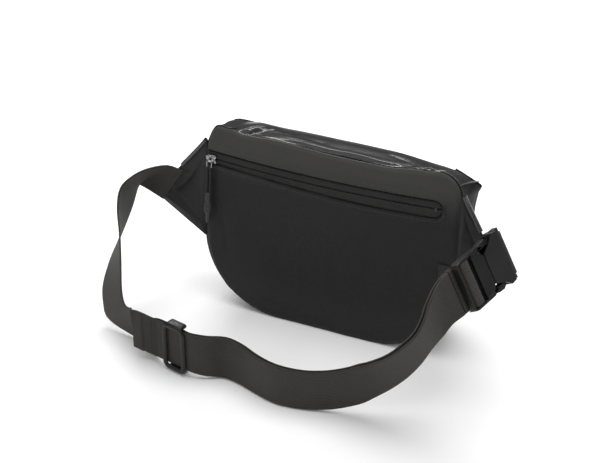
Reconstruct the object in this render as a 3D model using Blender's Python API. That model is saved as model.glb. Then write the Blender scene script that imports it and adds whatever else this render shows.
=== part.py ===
"""Waist pack standing on its base with its belt buckled, seen as separate working pieces.

Sizes are in millimetres and are scaled to metres when a mesh is made. +Z is up, +X runs along the
pack's width, and the wearer's side faces -Y. The origin is the middle of the base, on the floor.
"""
import math

import bmesh
import bpy
from mathutils import Matrix, Vector

MM = 0.001
GAP = 0.3                     # clearance between neighbouring pieces

# --- Pack body ------------------------------------------------------------------------------
HALF_WIDTH = 118.5            # half the width of the back panel
BACK_TOP = 172.0              # top seam of the back panel
FRONT_TOP = 160.0             # top edge at the front
BASE_DEPTH = 60.0             # depth at the floor
LEAN = math.radians(5.0)      # the back panel leans away from the wearer
TOP_RADIUS = 22.0             # upper corners
BASE_FLAT = 44.0              # half width of the flat base
BASE_RISE = 72.0              # height at which the lower corners end
PANEL = 3.0                   # padded back panel thickness
SHELL = 2.5                   # gusset, base, top and front thickness
FRONT_Y = BASE_DEPTH / 2      # inner face of the front panel
LINING = 1.0
FOAM = 4.0

# --- Rear zip, in the back panel's plane ------------------------------------------------------
REAR_ZIP_Z = 140.3
REAR_ZIP_LEFT = -112.0
REAR_ZIP_RIGHT = 104.0
WINDOW = 16.0                 # height of the slot that the zip is sewn into
COIL = 4.0                    # width of the closed coil
TAPE = 1.0
SLIDER = (10.0, 8.0, 3.0)     # length, width, height
REAR_SLIDER_X = -107.0

# --- Main zip, on the front under the top edge ----------------------------------------------
MAIN_ZIP_Z = 144.0
MAIN_ZIP_HALF = 98.0
LIP_Z = 150.0                 # lower edge of the top panel's front lip
FRONT_PANEL_TOP = 138.0
MAIN_SLIDER_X = 87.0

# --- Wings and webbing ------------------------------------------------------------------------
STRAP = 38.0                  # webbing width
STRAP_THICK = 1.5
LAYER = 2.9                   # spacing of the two webbing layers
WING = 3.6
WING_TOP = (118.8, 157.0)     # x, z on the side seam
WING_LOW = (118.8, 66.0)
WING_DIRECTION = (0.857, 0.515)
LEFT_WING_TIP = (145.0, 126.0)
RIGHT_WING_TIP = (138.5, 125.0)

# --- Buckle, in its own frame: u from the female's bar to the male's end, v across, n outwards
BUCKLE_BAR = (160.5, -24.0, 117.0)
BUCKLE_AXIS = (-0.185, -0.983, -0.02)
BUCKLE_OUT = (0.857, -0.161, 0.49)
BUCKLE_HALF = 23.0
BUCKLE_THICK = 5.5

# Belt stations, chosen by hand: middle of the strap, then the direction from its lower edge to
# its upper edge. The strap leaves the left wing, folds over, drops to the floor, runs along it
# on edge and climbs to the buckle.
BELT = [
    ((-156.2, -20.5, 109.4), (21, 2.5, 32.5)),
    ((-171, -21.5, 114), (31, -5, 29)),
    ((-178.5, -28.5, 113.5), (22, -18, 33)),
    ((-182.5, -37.5, 110), (11, -25, 31)),
    ((-184.5, -47, 103), (3.5, -26, 29)),
    ((-184, -57, 90), (7, -27, 26)),
    ((-180, -70, 75), (17, -27, 21)),
    ((-177, -86, 54.5), (28, -23, 17)),
    ((-174, -98, 36), (33, -18, 15.5)),
    ((-167.5, -105.5, 23.5), (35, -17, 20)),
    ((-155, -112.5, 21.5), (26, -15, 31)),
    ((-137, -119, 20.5), (9, -9, 36)),
    ((-119, -127, 22), (1, -2, 38)),
    ((-106, -131.6, 24), (0, 0, 38)),
    ((-94, -134.4, 24.2), (0, 0, 38)),
    ((-82, -137.2, 24.2), (0, 0, 38)),
    ((-71, -139.4, 23.9), (0, 0, 38)),
    ((-59, -135.8, 21.8), (0, 2, 38)),
    ((-45, -128, 19.4), (0, 4, 38)),
    ((-28, -131, 19.4), (-1, 3, 38)),
    ((-8, -139, 19.4), (0, 0, 38)),
    ((12, -144, 19.4), (0, 0, 38)),
    ((34, -142, 19.6), (0, -1, 38)),
    ((55, -137, 22.5), (-1, -2.5, 38)),
    ((73.5, -133, 29.4), (-2.5, -6.4, 37.4)),
    ((87, -132, 38.3), (-4.1, -12.6, 35.6)),
    ((100.2, -131, 48.5), (-4, -17.4, 33.5)),
    ((111.5, -130, 59.5), (-4.3, -21.5, 31)),
    ((121.7, -128, 72.8), (-3.3, -23.6, 29.6)),
    ((128.5, -125, 84.5), (-2.6, -25.2, 28.4)),
    ((132.9, -121, 94.5), (-4.6, -22.5, 30.1)),
    ((135.6, -116, 103), (-8.5, -15.4, 31)),
    ((137.6, -109, 108.4), (-11.8, -9.3, 31.7)),
    ((139.8, -101.2, 111.2), (-15.2, -3, 32.4)),
    ((141.9, -93.3, 112.4), (-18.4, 2.8, 33.1)),
]
BELT_STEPS = 3                # samples between two stations
FLOOR_END = 23                # station where the strap lifts off the floor
RETURN_START = 12             # station where the tail of the return layer ends

TRIGLIDE_X = -87.0
TRIGLIDE = (25.0, 48.0)       # length along the strap, height
TRIGLIDE_BAR = 4.5


def mat(name, color, roughness, metallic=0.0):
    """Return a Principled material."""
    material = bpy.data.materials.get(name) or bpy.data.materials.new(name)
    material.use_nodes = True
    shader = material.node_tree.nodes["Principled BSDF"]
    shader.inputs["Base Color"].default_value = (*color, 1.0)
    shader.inputs["Roughness"].default_value = roughness
    shader.inputs["Metallic"].default_value = metallic
    return material


FINISH = {
    "shell_nylon": ((0.020, 0.020, 0.022), 0.35, 0.0),
    "back_nylon": ((0.030, 0.030, 0.031), 0.75, 0.0),
    "lining": ((0.060, 0.060, 0.065), 0.70, 0.0),
    "foam": ((0.080, 0.080, 0.080), 0.95, 0.0),
    "webbing": ((0.045, 0.043, 0.042), 0.80, 0.0),
    "binding": ((0.050, 0.050, 0.052), 0.45, 0.0),
    "zip_tape": ((0.025, 0.025, 0.026), 0.80, 0.0),
    "zip_coil": ((0.018, 0.018, 0.018), 0.40, 0.0),
    "zip_metal": ((0.420, 0.420, 0.430), 0.30, 1.0),
    "cord": ((0.040, 0.040, 0.040), 0.85, 0.0),
    "grip": ((0.030, 0.030, 0.030), 0.60, 0.0),
    "acetal": ((0.030, 0.030, 0.031), 0.38, 0.0),
}


def node(name, slot, mesh_bm):
    """Make the object of one piece from a bmesh in millimetres."""
    bmesh.ops.remove_doubles(mesh_bm, verts=mesh_bm.verts, dist=0.01)
    bmesh.ops.recalc_face_normals(mesh_bm, faces=mesh_bm.faces)
    bmesh.ops.scale(mesh_bm, vec=(MM, MM, MM), verts=mesh_bm.verts)
    mesh = bpy.data.meshes.new(name)
    mesh_bm.to_mesh(mesh)
    mesh_bm.free()
    mesh.materials.append(mat(slot, *FINISH[slot]))
    obj = bpy.data.objects.new(name, mesh)
    bpy.context.collection.objects.link(obj)
    return obj


def on_joint(obj, point):
    """Move a piece's origin to a point on its joint's axis, in millimetres."""
    origin = Vector(point) * MM
    obj.data.transform(Matrix.Translation(-origin))
    obj.location = origin
    return obj


def cut(obj, name, lo, hi, frame=None, operation="DIFFERENCE"):
    """Cut a box, given in the piece's frame, out of a piece, or join it on."""
    tool_bm = box(lo, hi)
    if frame:
        tool_bm.transform(frame)
    cutter = node(name, "acetal", tool_bm)
    cutter.hide_render = True
    cutter.display_type = "WIRE"
    modifier = obj.modifiers.new(name, "BOOLEAN")
    modifier.operation = operation
    modifier.solver = "EXACT"
    modifier.object = cutter


def prism(outline, low, high, place):
    """Extrude a closed outline between two depths; place(a, b, depth) gives each corner."""
    out = bmesh.new()
    rings = [[out.verts.new(place(a, b, depth)) for a, b in outline] for depth in (low, high)]
    count = len(outline)
    out.faces.new(rings[0])
    out.faces.new(list(reversed(rings[1])))
    for i in range(count):
        j = (i + 1) % count
        out.faces.new((rings[0][i], rings[0][j], rings[1][j], rings[1][i]))
    return out


def box(lo, hi):
    """Return a box between two corners."""
    out = bmesh.new()
    size = Vector(hi) - Vector(lo)
    centre = (Vector(hi) + Vector(lo)) / 2
    bmesh.ops.create_cube(out, size=1.0, matrix=Matrix.Translation(centre) @ Matrix.Diagonal((*size, 1.0)))
    return out


def on_back(x, z, depth):
    """A point of the back panel's plane; depth is measured towards the wearer."""
    return Vector((
        x,
        -BASE_DEPTH / 2 + z * math.sin(LEAN) - depth * math.cos(LEAN),
        z * math.cos(LEAN) + depth * math.sin(LEAN),
    ))


def on_front(x, z, depth):
    """A point of the front panel's plane; depth is measured away from the wearer."""
    return Vector((x, FRONT_Y + depth, z))


def arc(centre, radii, start, end, steps):
    """Points of an elliptical arc, angles in degrees."""
    points = []
    for i in range(steps + 1):
        angle = math.radians(start + (end - start) * i / steps)
        points.append((centre[0] + radii[0] * math.cos(angle), centre[1] + radii[1] * math.sin(angle)))
    return points


def right_edge(top, inset=0.0, floor=0.0):
    """The right half of the pack's outline, from the base up to the top edge."""
    low = arc((BASE_FLAT, BASE_RISE), (HALF_WIDTH - BASE_FLAT - inset, BASE_RISE - inset - floor), -90, 0, 7)
    corner = TOP_RADIUS - inset
    high = arc((HALF_WIDTH - TOP_RADIUS, top - TOP_RADIUS), (corner, corner), 0, 90, 5)
    return low + high


def mirrored(points):
    """The same points with x turned round."""
    return [(-x, z) for x, z in points]


def outline(top, inset=0.0, floor=0.0):
    """The whole outline, anticlockwise from the base."""
    right = right_edge(top, inset, floor)
    return right + list(reversed(mirrored(right)))


def back_panel():
    """Back panel with the slot for the rear zip; a round end at the right."""
    obj = node("back_panel", "back_nylon", prism(outline(BACK_TOP), -PANEL, 0.0, on_back))
    radius = WINDOW / 2
    slot = arc((REAR_ZIP_RIGHT - radius, REAR_ZIP_Z), (radius, radius), -90, 90, 8)
    slot += [(REAR_ZIP_LEFT, REAR_ZIP_Z + radius), (REAR_ZIP_LEFT, REAR_ZIP_Z - radius)]
    cutter = node("rear_window_cutter", "back_nylon", prism(slot, -PANEL - 2, 2.0, on_back))
    cutter.hide_render = True
    cutter.display_type = "WIRE"
    modifier = obj.modifiers.new("window", "BOOLEAN")
    modifier.operation = "DIFFERENCE"
    modifier.solver = "EXACT"
    modifier.object = cutter


def back_layers():
    """Pocket lining and foam sheet behind the back panel."""
    depth = -PANEL - GAP
    lining = prism(outline(BACK_TOP, SHELL + 2, 2.0), depth - LINING, depth, on_back)
    node("rear_pocket_lining", "lining", lining)
    depth -= LINING + GAP
    foam = prism(outline(BACK_TOP - 4, SHELL + 3, 3.0), depth - FOAM, depth, on_back)
    node("back_foam", "foam", foam)


def strip(name, edge, slot="shell_nylon", inset=SHELL):
    """A gusset strip between the back and front outlines along one stretch of the edge."""
    out = bmesh.new()
    rings = []
    for back, front, back_in, front_in in edge:
        start = on_back(*back, -PANEL - GAP)
        start_in = on_back(*back_in, -PANEL - GAP)
        end = on_front(*front, -GAP)
        end_in = on_front(*front_in, -GAP)
        rings.append([out.verts.new(p) for p in (start, end, end_in, start_in)])
    for first, second in zip(rings, rings[1:]):
        for i in range(4):
            j = (i + 1) % 4
            out.faces.new((first[i], first[j], second[j], second[i]))
    out.faces.new(rings[0])
    out.faces.new(list(reversed(rings[-1])))
    return node(name, slot, out)


def gussets():
    """Side gussets, with their lower and upper corners."""
    for name, side in (("side_gusset_left", -1), ("side_gusset_right", 1)):
        lists = [right_edge(BACK_TOP), right_edge(FRONT_TOP), right_edge(BACK_TOP, SHELL), right_edge(FRONT_TOP, SHELL)]
        strip(name, [[(side * x, z) for x, z in points] for points in zip(*lists)])


def base_panel():
    """Flat base between the side gussets."""
    half = BASE_FLAT - GAP
    back = -BASE_DEPTH / 2 + PANEL + GAP + 0.5
    node("base_panel", "shell_nylon", box((-half, back, 0.0), (half, FRONT_Y - GAP, SHELL)))


def top_panel():
    """Top panel that slopes to the front and turns down in a lip over the main zip."""
    half = HALF_WIDTH - TOP_RADIUS - GAP
    start = on_back(0, BACK_TOP, -PANEL - GAP)
    profile = [
        (start.y, start.z), (FRONT_Y + SHELL, FRONT_TOP), (FRONT_Y + SHELL, LIP_Z),
        (FRONT_Y, LIP_Z), (FRONT_Y, FRONT_TOP - SHELL), (start.y, start.z - SHELL),
    ]
    node("top_panel", "shell_nylon", prism(profile, -half, half, lambda y, z, x: Vector((x, y, z))))


def front_panels():
    """Front panel, with its upper edge just below the main zip, and the fixed corners beside the zip."""
    right = [(x, z) for x, z in right_edge(FRONT_TOP) if z <= FRONT_PANEL_TOP]
    points = right + [(HALF_WIDTH, FRONT_PANEL_TOP)] + [(-HALF_WIDTH, FRONT_PANEL_TOP)]
    points += list(reversed(mirrored(right)))
    obj = node("front_panel", "shell_nylon", prism(points, 0.0, SHELL, on_front))
    on_joint(obj, (0, FRONT_Y + SHELL, 0))
    half = HALF_WIDTH - TOP_RADIUS
    for name, side in (("front_corner_left", -1), ("front_corner_right", 1)):
        centre = (half, FRONT_TOP - TOP_RADIUS)
        shape = arc(centre, (TOP_RADIUS, TOP_RADIUS), 1, 90, 5)
        shape += [(half, FRONT_PANEL_TOP + GAP), (HALF_WIDTH, FRONT_PANEL_TOP + GAP)]
        node(name, "shell_nylon", prism([(side * x, z) for x, z in shape], 0.0, SHELL, on_front))


def zip_line(prefix, place, left, right, middle, top, low, depth):
    """Tapes, coil and end stops of one zip; depth is the face of the tapes."""
    half = COIL / 2
    node(prefix + "_tape_upper", "zip_tape",
         prism([(left, middle + half + GAP), (right, middle + half + GAP), (right, top), (left, top)],
               depth - TAPE, depth, place))
    lower = node(prefix + "_tape_lower", "zip_tape",
                 prism([(left, low), (right, low), (right, middle - half - GAP), (left, middle - half - GAP)],
                       depth - TAPE, depth, place))
    end = 3.0
    node(prefix + "_coil", "zip_coil",
         prism([(left + end, middle - half), (right - end, middle - half),
                (right - end, middle + half), (left + end, middle + half)], depth - TAPE, depth + 0.8, place))
    for suffix, x in (("_stop_left", left + 0.5), ("_stop_right", right - 2.5)):
        block = [(x, middle - half), (x + 2, middle - half), (x + 2, middle + half), (x, middle + half)]
        node(prefix + suffix, "zip_metal", prism(block, depth - TAPE, depth + 1.0, place))
    return lower


def slider(prefix, place, x, middle, depth):
    """Slider body and its hanging pull: metal tab, doubled cord and moulded grip."""
    length, width, height = SLIDER
    base = depth + 0.8 + GAP
    body = prism([(x - length / 2, middle - width / 2), (x + length / 2, middle - width / 2),
                  (x + length / 2, middle + width / 2), (x - length / 2, middle + width / 2)],
                 base, base + height, place)
    obj = node(prefix + "_slider", "zip_metal", body)
    on_joint(obj, place(x, middle, base))
    pivot = place(x, middle - 1.0, base + height + GAP + 1.0)
    face = base + height + GAP
    pieces = (
        ("_puller", "zip_metal", 3.0, -0.4, -8.0, 1.8),
        ("_pull_cord", "cord", 2.2, -8.0 - GAP, -34.0, 2.4),
        ("_pull_grip", "grip", 4.0, -34.0 - GAP, -60.0, 5.0),
    )
    for suffix, slot, half, top, low, thick in pieces:
        shape = [(x - half, middle + low), (x + half, middle + low), (x + half, middle + top), (x - half, middle + top)]
        obj = node(prefix + suffix, slot, prism(shape, face, face + thick, place))
        on_joint(obj, pivot)


def rear_zip():
    """Rear pocket zip in the back panel's slot."""
    radius = WINDOW / 2 - GAP
    zip_line("rear_zip", on_back, REAR_ZIP_LEFT + GAP, REAR_ZIP_RIGHT - 5.0, REAR_ZIP_Z,
             REAR_ZIP_Z + radius - 1.5, REAR_ZIP_Z - radius + 1.5, -0.8)
    slider("rear_zip", on_back, REAR_SLIDER_X, REAR_ZIP_Z, -0.8)


def main_zip():
    """Main compartment zip on the front, under the lip."""
    lower = zip_line("main_zip", on_front, -MAIN_ZIP_HALF + 2, MAIN_ZIP_HALF - 2, MAIN_ZIP_Z,
                     LIP_Z - GAP, FRONT_PANEL_TOP + GAP, SHELL - 0.5)
    on_joint(lower, (0, FRONT_Y + SHELL, 0))
    slider("main_zip", on_front, MAIN_SLIDER_X, MAIN_ZIP_Z, SHELL - 0.5)


def wings():
    """Triangular hip wings on the side seams, with a bound upper edge."""
    across = Vector(WING_DIRECTION).normalized()
    down = Vector((across.y, -across.x)) * STRAP
    for name, side, tip in (("left", -1, LEFT_WING_TIP), ("right", 1, RIGHT_WING_TIP)):
        low_tip = Vector(tip) + down
        shape = [WING_LOW, tuple(low_tip), tip, WING_TOP]
        node("wing_" + name, "back_nylon", prism([(side * x, z) for x, z in shape], -WING, 0.0, on_back))
        along = (Vector(tip) - Vector(WING_TOP)).normalized()
        out = Vector((-along.y, along.x))
        inner = [Vector(WING_TOP) + out * GAP + along * 1.0, Vector(tip) + out * GAP - along * 4.0]
        outer = [inner[1] + out * 3.0, inner[0] + out * 3.0]
        edge = [(side * p.x, p.y) for p in inner + outer]
        node("wing_binding_" + name, "binding", prism(edge, -WING - 0.4, 0.4, on_back))


def spline(points, steps):
    """Points of a Catmull-Rom curve through the given points."""
    padded = [points[0] * 2 - points[1]] + points + [points[-1] * 2 - points[-2]]
    result = []
    for i in range(1, len(padded) - 2):
        p0, p1, p2, p3 = padded[i - 1:i + 3]
        for k in range(steps):
            t = k / steps
            result.append((p1 * 2 + (p2 - p0) * t + (p0 * 2 - p1 * 5 + p2 * 4 - p3) * t * t
                           + (p1 * 3 - p0 - p2 * 3 + p3) * t ** 3) / 2)
    result.append(points[-1])
    return result


def belt_frames():
    """Middle, half-width and outward vectors along the belt."""
    middles = spline([Vector(c) for c, _ in BELT], BELT_STEPS)
    edges = spline([Vector(w) for _, w in BELT], BELT_STEPS)
    frames = []
    last = len(middles) - 1
    for i, middle in enumerate(middles):
        along = (middles[min(i + 1, last)] - middles[max(i - 1, 0)]).normalized()
        width = edges[i].cross(along).length
        half = edges[i] * (STRAP / 2 / width)
        frames.append((middle, half, along.cross(half).normalized()))
    return frames


def ribbon(name, frames, offset=0.0, slot="webbing"):
    """A flat strap through frames, moved outwards by an offset."""
    out = bmesh.new()
    rings = []
    for middle, half, outward in frames:
        low, high = (outward * (offset + side * STRAP_THICK / 2) for side in (-1, 1))
        corners = (middle - half + low, middle + half + low, middle + half + high, middle - half + high)
        rings.append([out.verts.new(p) for p in corners])
    for first, second in zip(rings, rings[1:]):
        for i in range(4):
            j = (i + 1) % 4
            out.faces.new((first[i], first[j], second[j], second[i]))
    out.faces.new(rings[0])
    out.faces.new(list(reversed(rings[-1])))
    return node(name, slot, out)


def belt():
    """Webbing from the left wing to the buckle, and the return layer outside it."""
    frames = belt_frames()
    lift = FLOOR_END * BELT_STEPS
    tail = RETURN_START * BELT_STEPS
    shift = frames[lift][0] - frames[lift + 1][0]
    after = [(frames[lift][0] - shift.normalized() * GAP, *frames[lift][1:])] + frames[lift + 1:]
    ribbon("belt_main_left", frames[:lift + 1])
    ribbon("belt_main_right", after)
    ribbon("belt_return_left", frames[tail:lift + 1], LAYER)
    ribbon("belt_return_right", after, LAYER)


def buckle_frame():
    """Matrix from the buckle's own frame (u, v, n) to the pack's frame."""
    u = Vector(BUCKLE_AXIS).normalized()
    n = Vector(BUCKLE_OUT)
    n = (n - u * n.dot(u)).normalized()
    v = n.cross(u)
    matrix = Matrix((u, v, n)).transposed().to_4x4()
    matrix.translation = Vector(BUCKLE_BAR)
    return matrix


def loop_path(points, steps, frame):
    """Frames of a strap bent in the buckle's (u, n) plane."""
    path = spline([Vector((u, 0.0, n)) for u, n in points], steps)
    rotation = frame.to_3x3()
    half = rotation @ Vector((0.0, STRAP / 2, 0.0))
    frames = []
    last = len(path) - 1
    for i, point in enumerate(path):
        along = rotation @ (path[min(i + 1, last)] - path[max(i - 1, 0)]).normalized()
        frames.append((frame @ point, half, along.cross(half).normalized()))
    return frames


def buckle():
    """Side-release buckle: female, male with its ladder bars, and two sprung prongs."""
    frame = buckle_frame()
    half, thick = BUCKLE_HALF, BUCKLE_THICK
    body = box((-1.6, -half, -thick), (31.0, half, thick))
    body.transform(frame)
    female = node("buckle_female", "acetal", body)
    for name, lo, hi in (
        ("bar_above", (-3, -half - 1, 1.4), (5.0, half + 1, thick + 1)),
        ("bar_below", (-3, -half - 1, -thick - 1), (5.0, half + 1, -1.4)),
        ("bar_slot", (1.6, -19.6, -2), (5.0, 19.6, 2)),
        ("socket", (8.0, -19.2, -3.7), (32.0, 19.2, 3.7)),
        ("side_windows", (12.5, -half - 1, -3.5), (33.0, half + 1, 3.5)),
    ):
        cut(female, "female_" + name, lo, hi, frame)
    plate = box((33.0, -21.5, -3.6), (67.0, 21.5, 3.6))
    plate.transform(frame)
    male = node("buckle_male", "acetal", plate)
    for name, lo, hi in (
        ("slot_inner", (47.6, -19.6, -5), (52.4, 19.6, 5)),
        ("slot_outer", (59.4, -19.6, -5), (64.2, 19.6, 5)),
        ("bar_top", (47.6, -19.6, 1.6), (64.2, 19.6, 5)),
        ("under", (46.0, -19.6, -5), (68.0, 19.6, -1.6)),
    ):
        cut(male, "male_" + name, lo, hi, frame)
    pin = box((11.0, -3.0, -3.2), (32.7, 3.0, 3.2))
    pin.transform(frame)
    node("buckle_guide", "acetal", pin)
    for name, side in (("left", 1), ("right", -1)):
        shape = [(32.2, 11.5), (32.2, 18.0), (27.4, 19.0), (26.6, 22.5), (20.0, 22.5), (13.2, 17.0), (13.2, 13.5), (20, 13)]
        arm = prism([(u, side * v) for u, v in shape], -3.2, 3.2, lambda u, v, n: frame @ Vector((u, v, n)))
        obj = node("buckle_prong_" + name, "acetal", arm)
        on_joint(obj, frame @ Vector((32.7, side * 14.5, 0)))
    threading = [(70.5, -3.6), (66.0, -3.2), (63.4, -2.0), (61.9, 0.2), (60.8, 2.4), (58.0, 3.0), (53.8, 3.0),
                 (51.0, 2.2), (50.0, -0.5), (50.6, -3.4), (53.0, -5.6), (58.0, -6.4), (70.5, -6.5)]
    ribbon("belt_lock_loop", loop_path(threading, 2, frame))


def wing_loop():
    """Webbing loop that holds the female's bar at the right wing."""
    frame = buckle_frame()
    across = Vector(WING_DIRECTION).normalized()
    edge = Vector(RIGHT_WING_TIP) + Vector((across.y, -across.x)) * STRAP / 2
    start = on_back(edge.x, edge.y, -WING / 2) + Vector((across.x, 0, across.y)) * 2.0
    local = frame.inverted() @ start
    u0, n0 = local.x, local.z
    points = [(u0 + 1.0, n0), (u0 + 2.2, n0 + 5.0), (1.6, -2.9)]
    points += [(3.1 * math.cos(math.radians(a)), 3.1 * math.sin(math.radians(a))) for a in (-20, 20, 60, 100, 140, 180)]
    points += [(-2.4, -2.8), (u0 - 0.6, n0 + 5.0), (u0 - 1.2, n0)]
    ribbon("wing_loop", loop_path(points, 2, frame))


def triglide():
    """Flat adjuster: two outer bars and end rails outside the straps, centre bar behind."""
    length, height = TRIGLIDE
    frames = belt_frames()
    near = min(frames, key=lambda f: abs(f[0].x - TRIGLIDE_X))
    middle, outward = near[0], near[2]
    along = Vector((0, 0, 1)).cross(outward).normalized() * -1.0
    matrix = Matrix((along, Vector((0, 0, 1)), outward)).transposed().to_4x4()
    matrix.translation = Vector((middle.x, middle.y, height / 2 + 0.2))
    front = LAYER + STRAP_THICK / 2 + 0.9
    rear = -STRAP_THICK / 2 - 0.9
    inner = height / 2 - TRIGLIDE_BAR
    bar = TRIGLIDE_BAR
    rail = box((-length / 2, -height / 2, rear - 2.4), (length / 2, -inner, front + 2.4))
    rail.transform(matrix)
    obj = node("triglide", "acetal", rail)
    reach = inner + 1.0
    for name, lo, hi in (
        ("left_bar", (-length / 2 + 0.2, -reach, front), (-length / 2 + bar, reach, front + 2.2)),
        ("right_bar", (length / 2 - bar, -reach, front), (length / 2 - 0.2, reach, front + 2.2)),
        ("centre_bar", (-3.0, -reach, rear - 2.2), (3.0, reach, rear)),
        ("top_rail", (-length / 2, inner, rear - 2.4), (length / 2, height / 2, front + 2.4)),
    ):
        cut(obj, "triglide_" + name, lo, hi, matrix, "UNION")


def side_tag():
    """Small blank tag sewn into the right seam of the back panel."""
    node("side_tag", "binding", box_on_back(104.0, 113.0, 78.0, 92.0, GAP, GAP + 0.8))


def box_on_back(x0, x1, z0, z1, low, high):
    """A flat block on the back panel."""
    return prism([(x0, z0), (x1, z0), (x1, z1), (x0, z1)], low, high, on_back)


def build():
    """Make every piece."""
    for obj in list(bpy.data.objects):
        bpy.data.objects.remove(obj, do_unlink=True)
    back_panel()
    back_layers()
    gussets()
    base_panel()
    top_panel()
    front_panels()
    rear_zip()
    main_zip()
    wings()
    belt()
    buckle()
    wing_loop()
    triglide()
    side_tag()


build()
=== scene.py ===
"""Looks of a waist pack around its fixed CAD frame.

Sizes are in millimetres and become metres when a mesh is finished. +Z is up, +X runs along the
pack's width, and the wearer's side faces -Y. The origin is the middle of the base, on the floor.
"""
import logging
import math
from collections.abc import Callable, Iterable, Sequence
from dataclasses import dataclass, field
from enum import Enum
from typing import TypeVar

import bmesh
import bpy
from mathutils import Matrix, Vector, noise


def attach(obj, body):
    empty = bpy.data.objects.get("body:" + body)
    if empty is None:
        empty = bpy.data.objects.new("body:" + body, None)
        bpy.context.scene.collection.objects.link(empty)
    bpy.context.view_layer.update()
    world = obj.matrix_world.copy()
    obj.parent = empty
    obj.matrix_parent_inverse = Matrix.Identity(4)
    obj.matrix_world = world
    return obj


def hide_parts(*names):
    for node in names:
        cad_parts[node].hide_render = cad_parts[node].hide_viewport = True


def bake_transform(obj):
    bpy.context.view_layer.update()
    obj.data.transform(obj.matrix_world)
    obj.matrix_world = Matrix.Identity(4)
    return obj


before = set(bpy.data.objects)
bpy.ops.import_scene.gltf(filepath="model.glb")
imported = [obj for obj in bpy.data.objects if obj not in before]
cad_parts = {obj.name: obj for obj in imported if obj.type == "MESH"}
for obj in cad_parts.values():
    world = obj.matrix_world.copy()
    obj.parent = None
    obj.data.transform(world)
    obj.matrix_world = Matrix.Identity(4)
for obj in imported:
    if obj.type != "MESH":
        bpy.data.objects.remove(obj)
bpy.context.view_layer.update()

LOG = logging.getLogger("waist_pack")

MM = 0.001
Pair = tuple[float, float]
Triple = tuple[float, float, float]
Place = Callable[[float, float, float], Vector]
Area = Callable[[float, float], Vector]
Value = TypeVar("Value", float, Vector)

# Sizes shared by several pieces
LEAN = math.radians(5.0)      # the back panel leans away from the wearer
BASE_DEPTH = 60.0
FRONT_Y = BASE_DEPTH / 2
HALF_WIDTH = 118.5
BACK_TOP = 172.0
FRONT_TOP = 160.0
TOP_RADIUS = 22.0
CORNER_X = HALF_WIDTH - TOP_RADIUS
PANEL = 3.0
SHELL = 2.5
LIP_Z = 150.0
FRONT_PANEL_TOP = 138.0
STRAP = 38.0


# --- Small mathematics ------------------------------------------------------------------------
def mix(a: Value, b: Value, share: float) -> Value:
    """Return the value a share of the way from a to b; both are numbers or both are vectors."""
    return a + (b - a) * share


def ease(share: float) -> float:
    """Return a share from 0 to 1 with soft ends."""
    share = min(1.0, max(0.0, share))
    return share * share * (3 - 2 * share)


def crumple(a: float, b: float, size: float, depth: float, seed: float) -> float:
    """Return the height of soft random wrinkles.

    Args:
        a: First coordinate on the surface.
        b: Second coordinate on the surface.
        size: Width of one wrinkle.
        depth: Height of the tallest wrinkles.
        seed: Picks another set of wrinkles.

    Returns:
        The height, positive outwards.
    """
    return depth * noise.noise(Vector((a / size, b / size, seed)))


# How far the top edge hangs below, or stands above, a straight line: place and height.
TOP_HANG = ((-119.0, 3.0), (-113.0, 5.5), (-100.0, -0.5), (-84.0, -3.8), (-56.0, -2.8), (9.0, -5.6),
            (46.0, -5.8),
            (82.0, -2.2), (98.0, 0.0), (119.0, 0.0))


def hang(x: float) -> float:
    """Return how far the top edge is moved up at one place along the pack.

    Args:
        x: Place along the pack.

    Returns:
        The move, negative where the edge hangs.
    """
    for (x0, z0), (x1, z1) in zip(TOP_HANG, TOP_HANG[1:]):
        if x <= x1:
            return mix(z0, z1, ease((x - x0) / (x1 - x0)))
    return TOP_HANG[-1][1]


def on_back(x: float, z: float, depth: float) -> Vector:
    """Return a point of the leaning back plane; depth is positive towards the wearer.

    Args:
        x: Place along the pack.
        z: Height up the panel.
        depth: Distance from the plane, positive towards the wearer.

    Returns:
        The point in the pack's millimetres.
    """
    depth -= 4.2 * ease((z - 147) / 30)   # the panel rolls back above the zip
    z += hang(x) * ease((z - 148) / 24)
    return Vector((
        x,
        -BASE_DEPTH / 2 + z * math.sin(LEAN) - depth * math.cos(LEAN),
        z * math.cos(LEAN) + depth * math.sin(LEAN),
    ))


def on_front(x: float, z: float, depth: float) -> Vector:
    """Return a point of the front plane; depth is positive away from the wearer."""
    return Vector((x, FRONT_Y + depth, z))


def arc(centre: Pair, radii: Pair, start: float, end: float, steps: int) -> list[Pair]:
    """Return points of an elliptical arc.

    Args:
        centre: Middle of the ellipse.
        radii: Its two radii.
        start: First angle in degrees.
        end: Last angle in degrees.
        steps: Number of parts the arc is cut into.

    Returns:
        The points from start to end.
    """
    points = []
    for i in range(steps + 1):
        angle = math.radians(mix(start, end, i / steps))
        points.append((centre[0] + radii[0] * math.cos(angle), centre[1] + radii[1] * math.sin(angle)))
    return points


def mirrored(points: Iterable[Pair]) -> list[Pair]:
    """Return the points with x turned round."""
    return [(-x, z) for x, z in points]


def spline(points: Sequence[Vector], steps: int) -> list[Vector]:
    """Return points of a smooth curve through the given points.

    Args:
        points: Points that the curve passes through.
        steps: Samples between two of them.

    Returns:
        The samples, the last given point among them.
    """
    padded = [points[0] * 2 - points[1], *points, points[-1] * 2 - points[-2]]
    result = []
    for i in range(1, len(padded) - 2):
        p0, p1, p2, p3 = padded[i - 1:i + 3]
        for k in range(steps):
            t = k / steps
            result.append((p1 * 2 + (p2 - p0) * t + (p0 * 2 - p1 * 5 + p2 * 4 - p3) * t * t
                           + (p1 * 3 - p0 - p2 * 3 + p3) * t ** 3) / 2)
    result.append(points[-1].copy())
    return result


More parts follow.
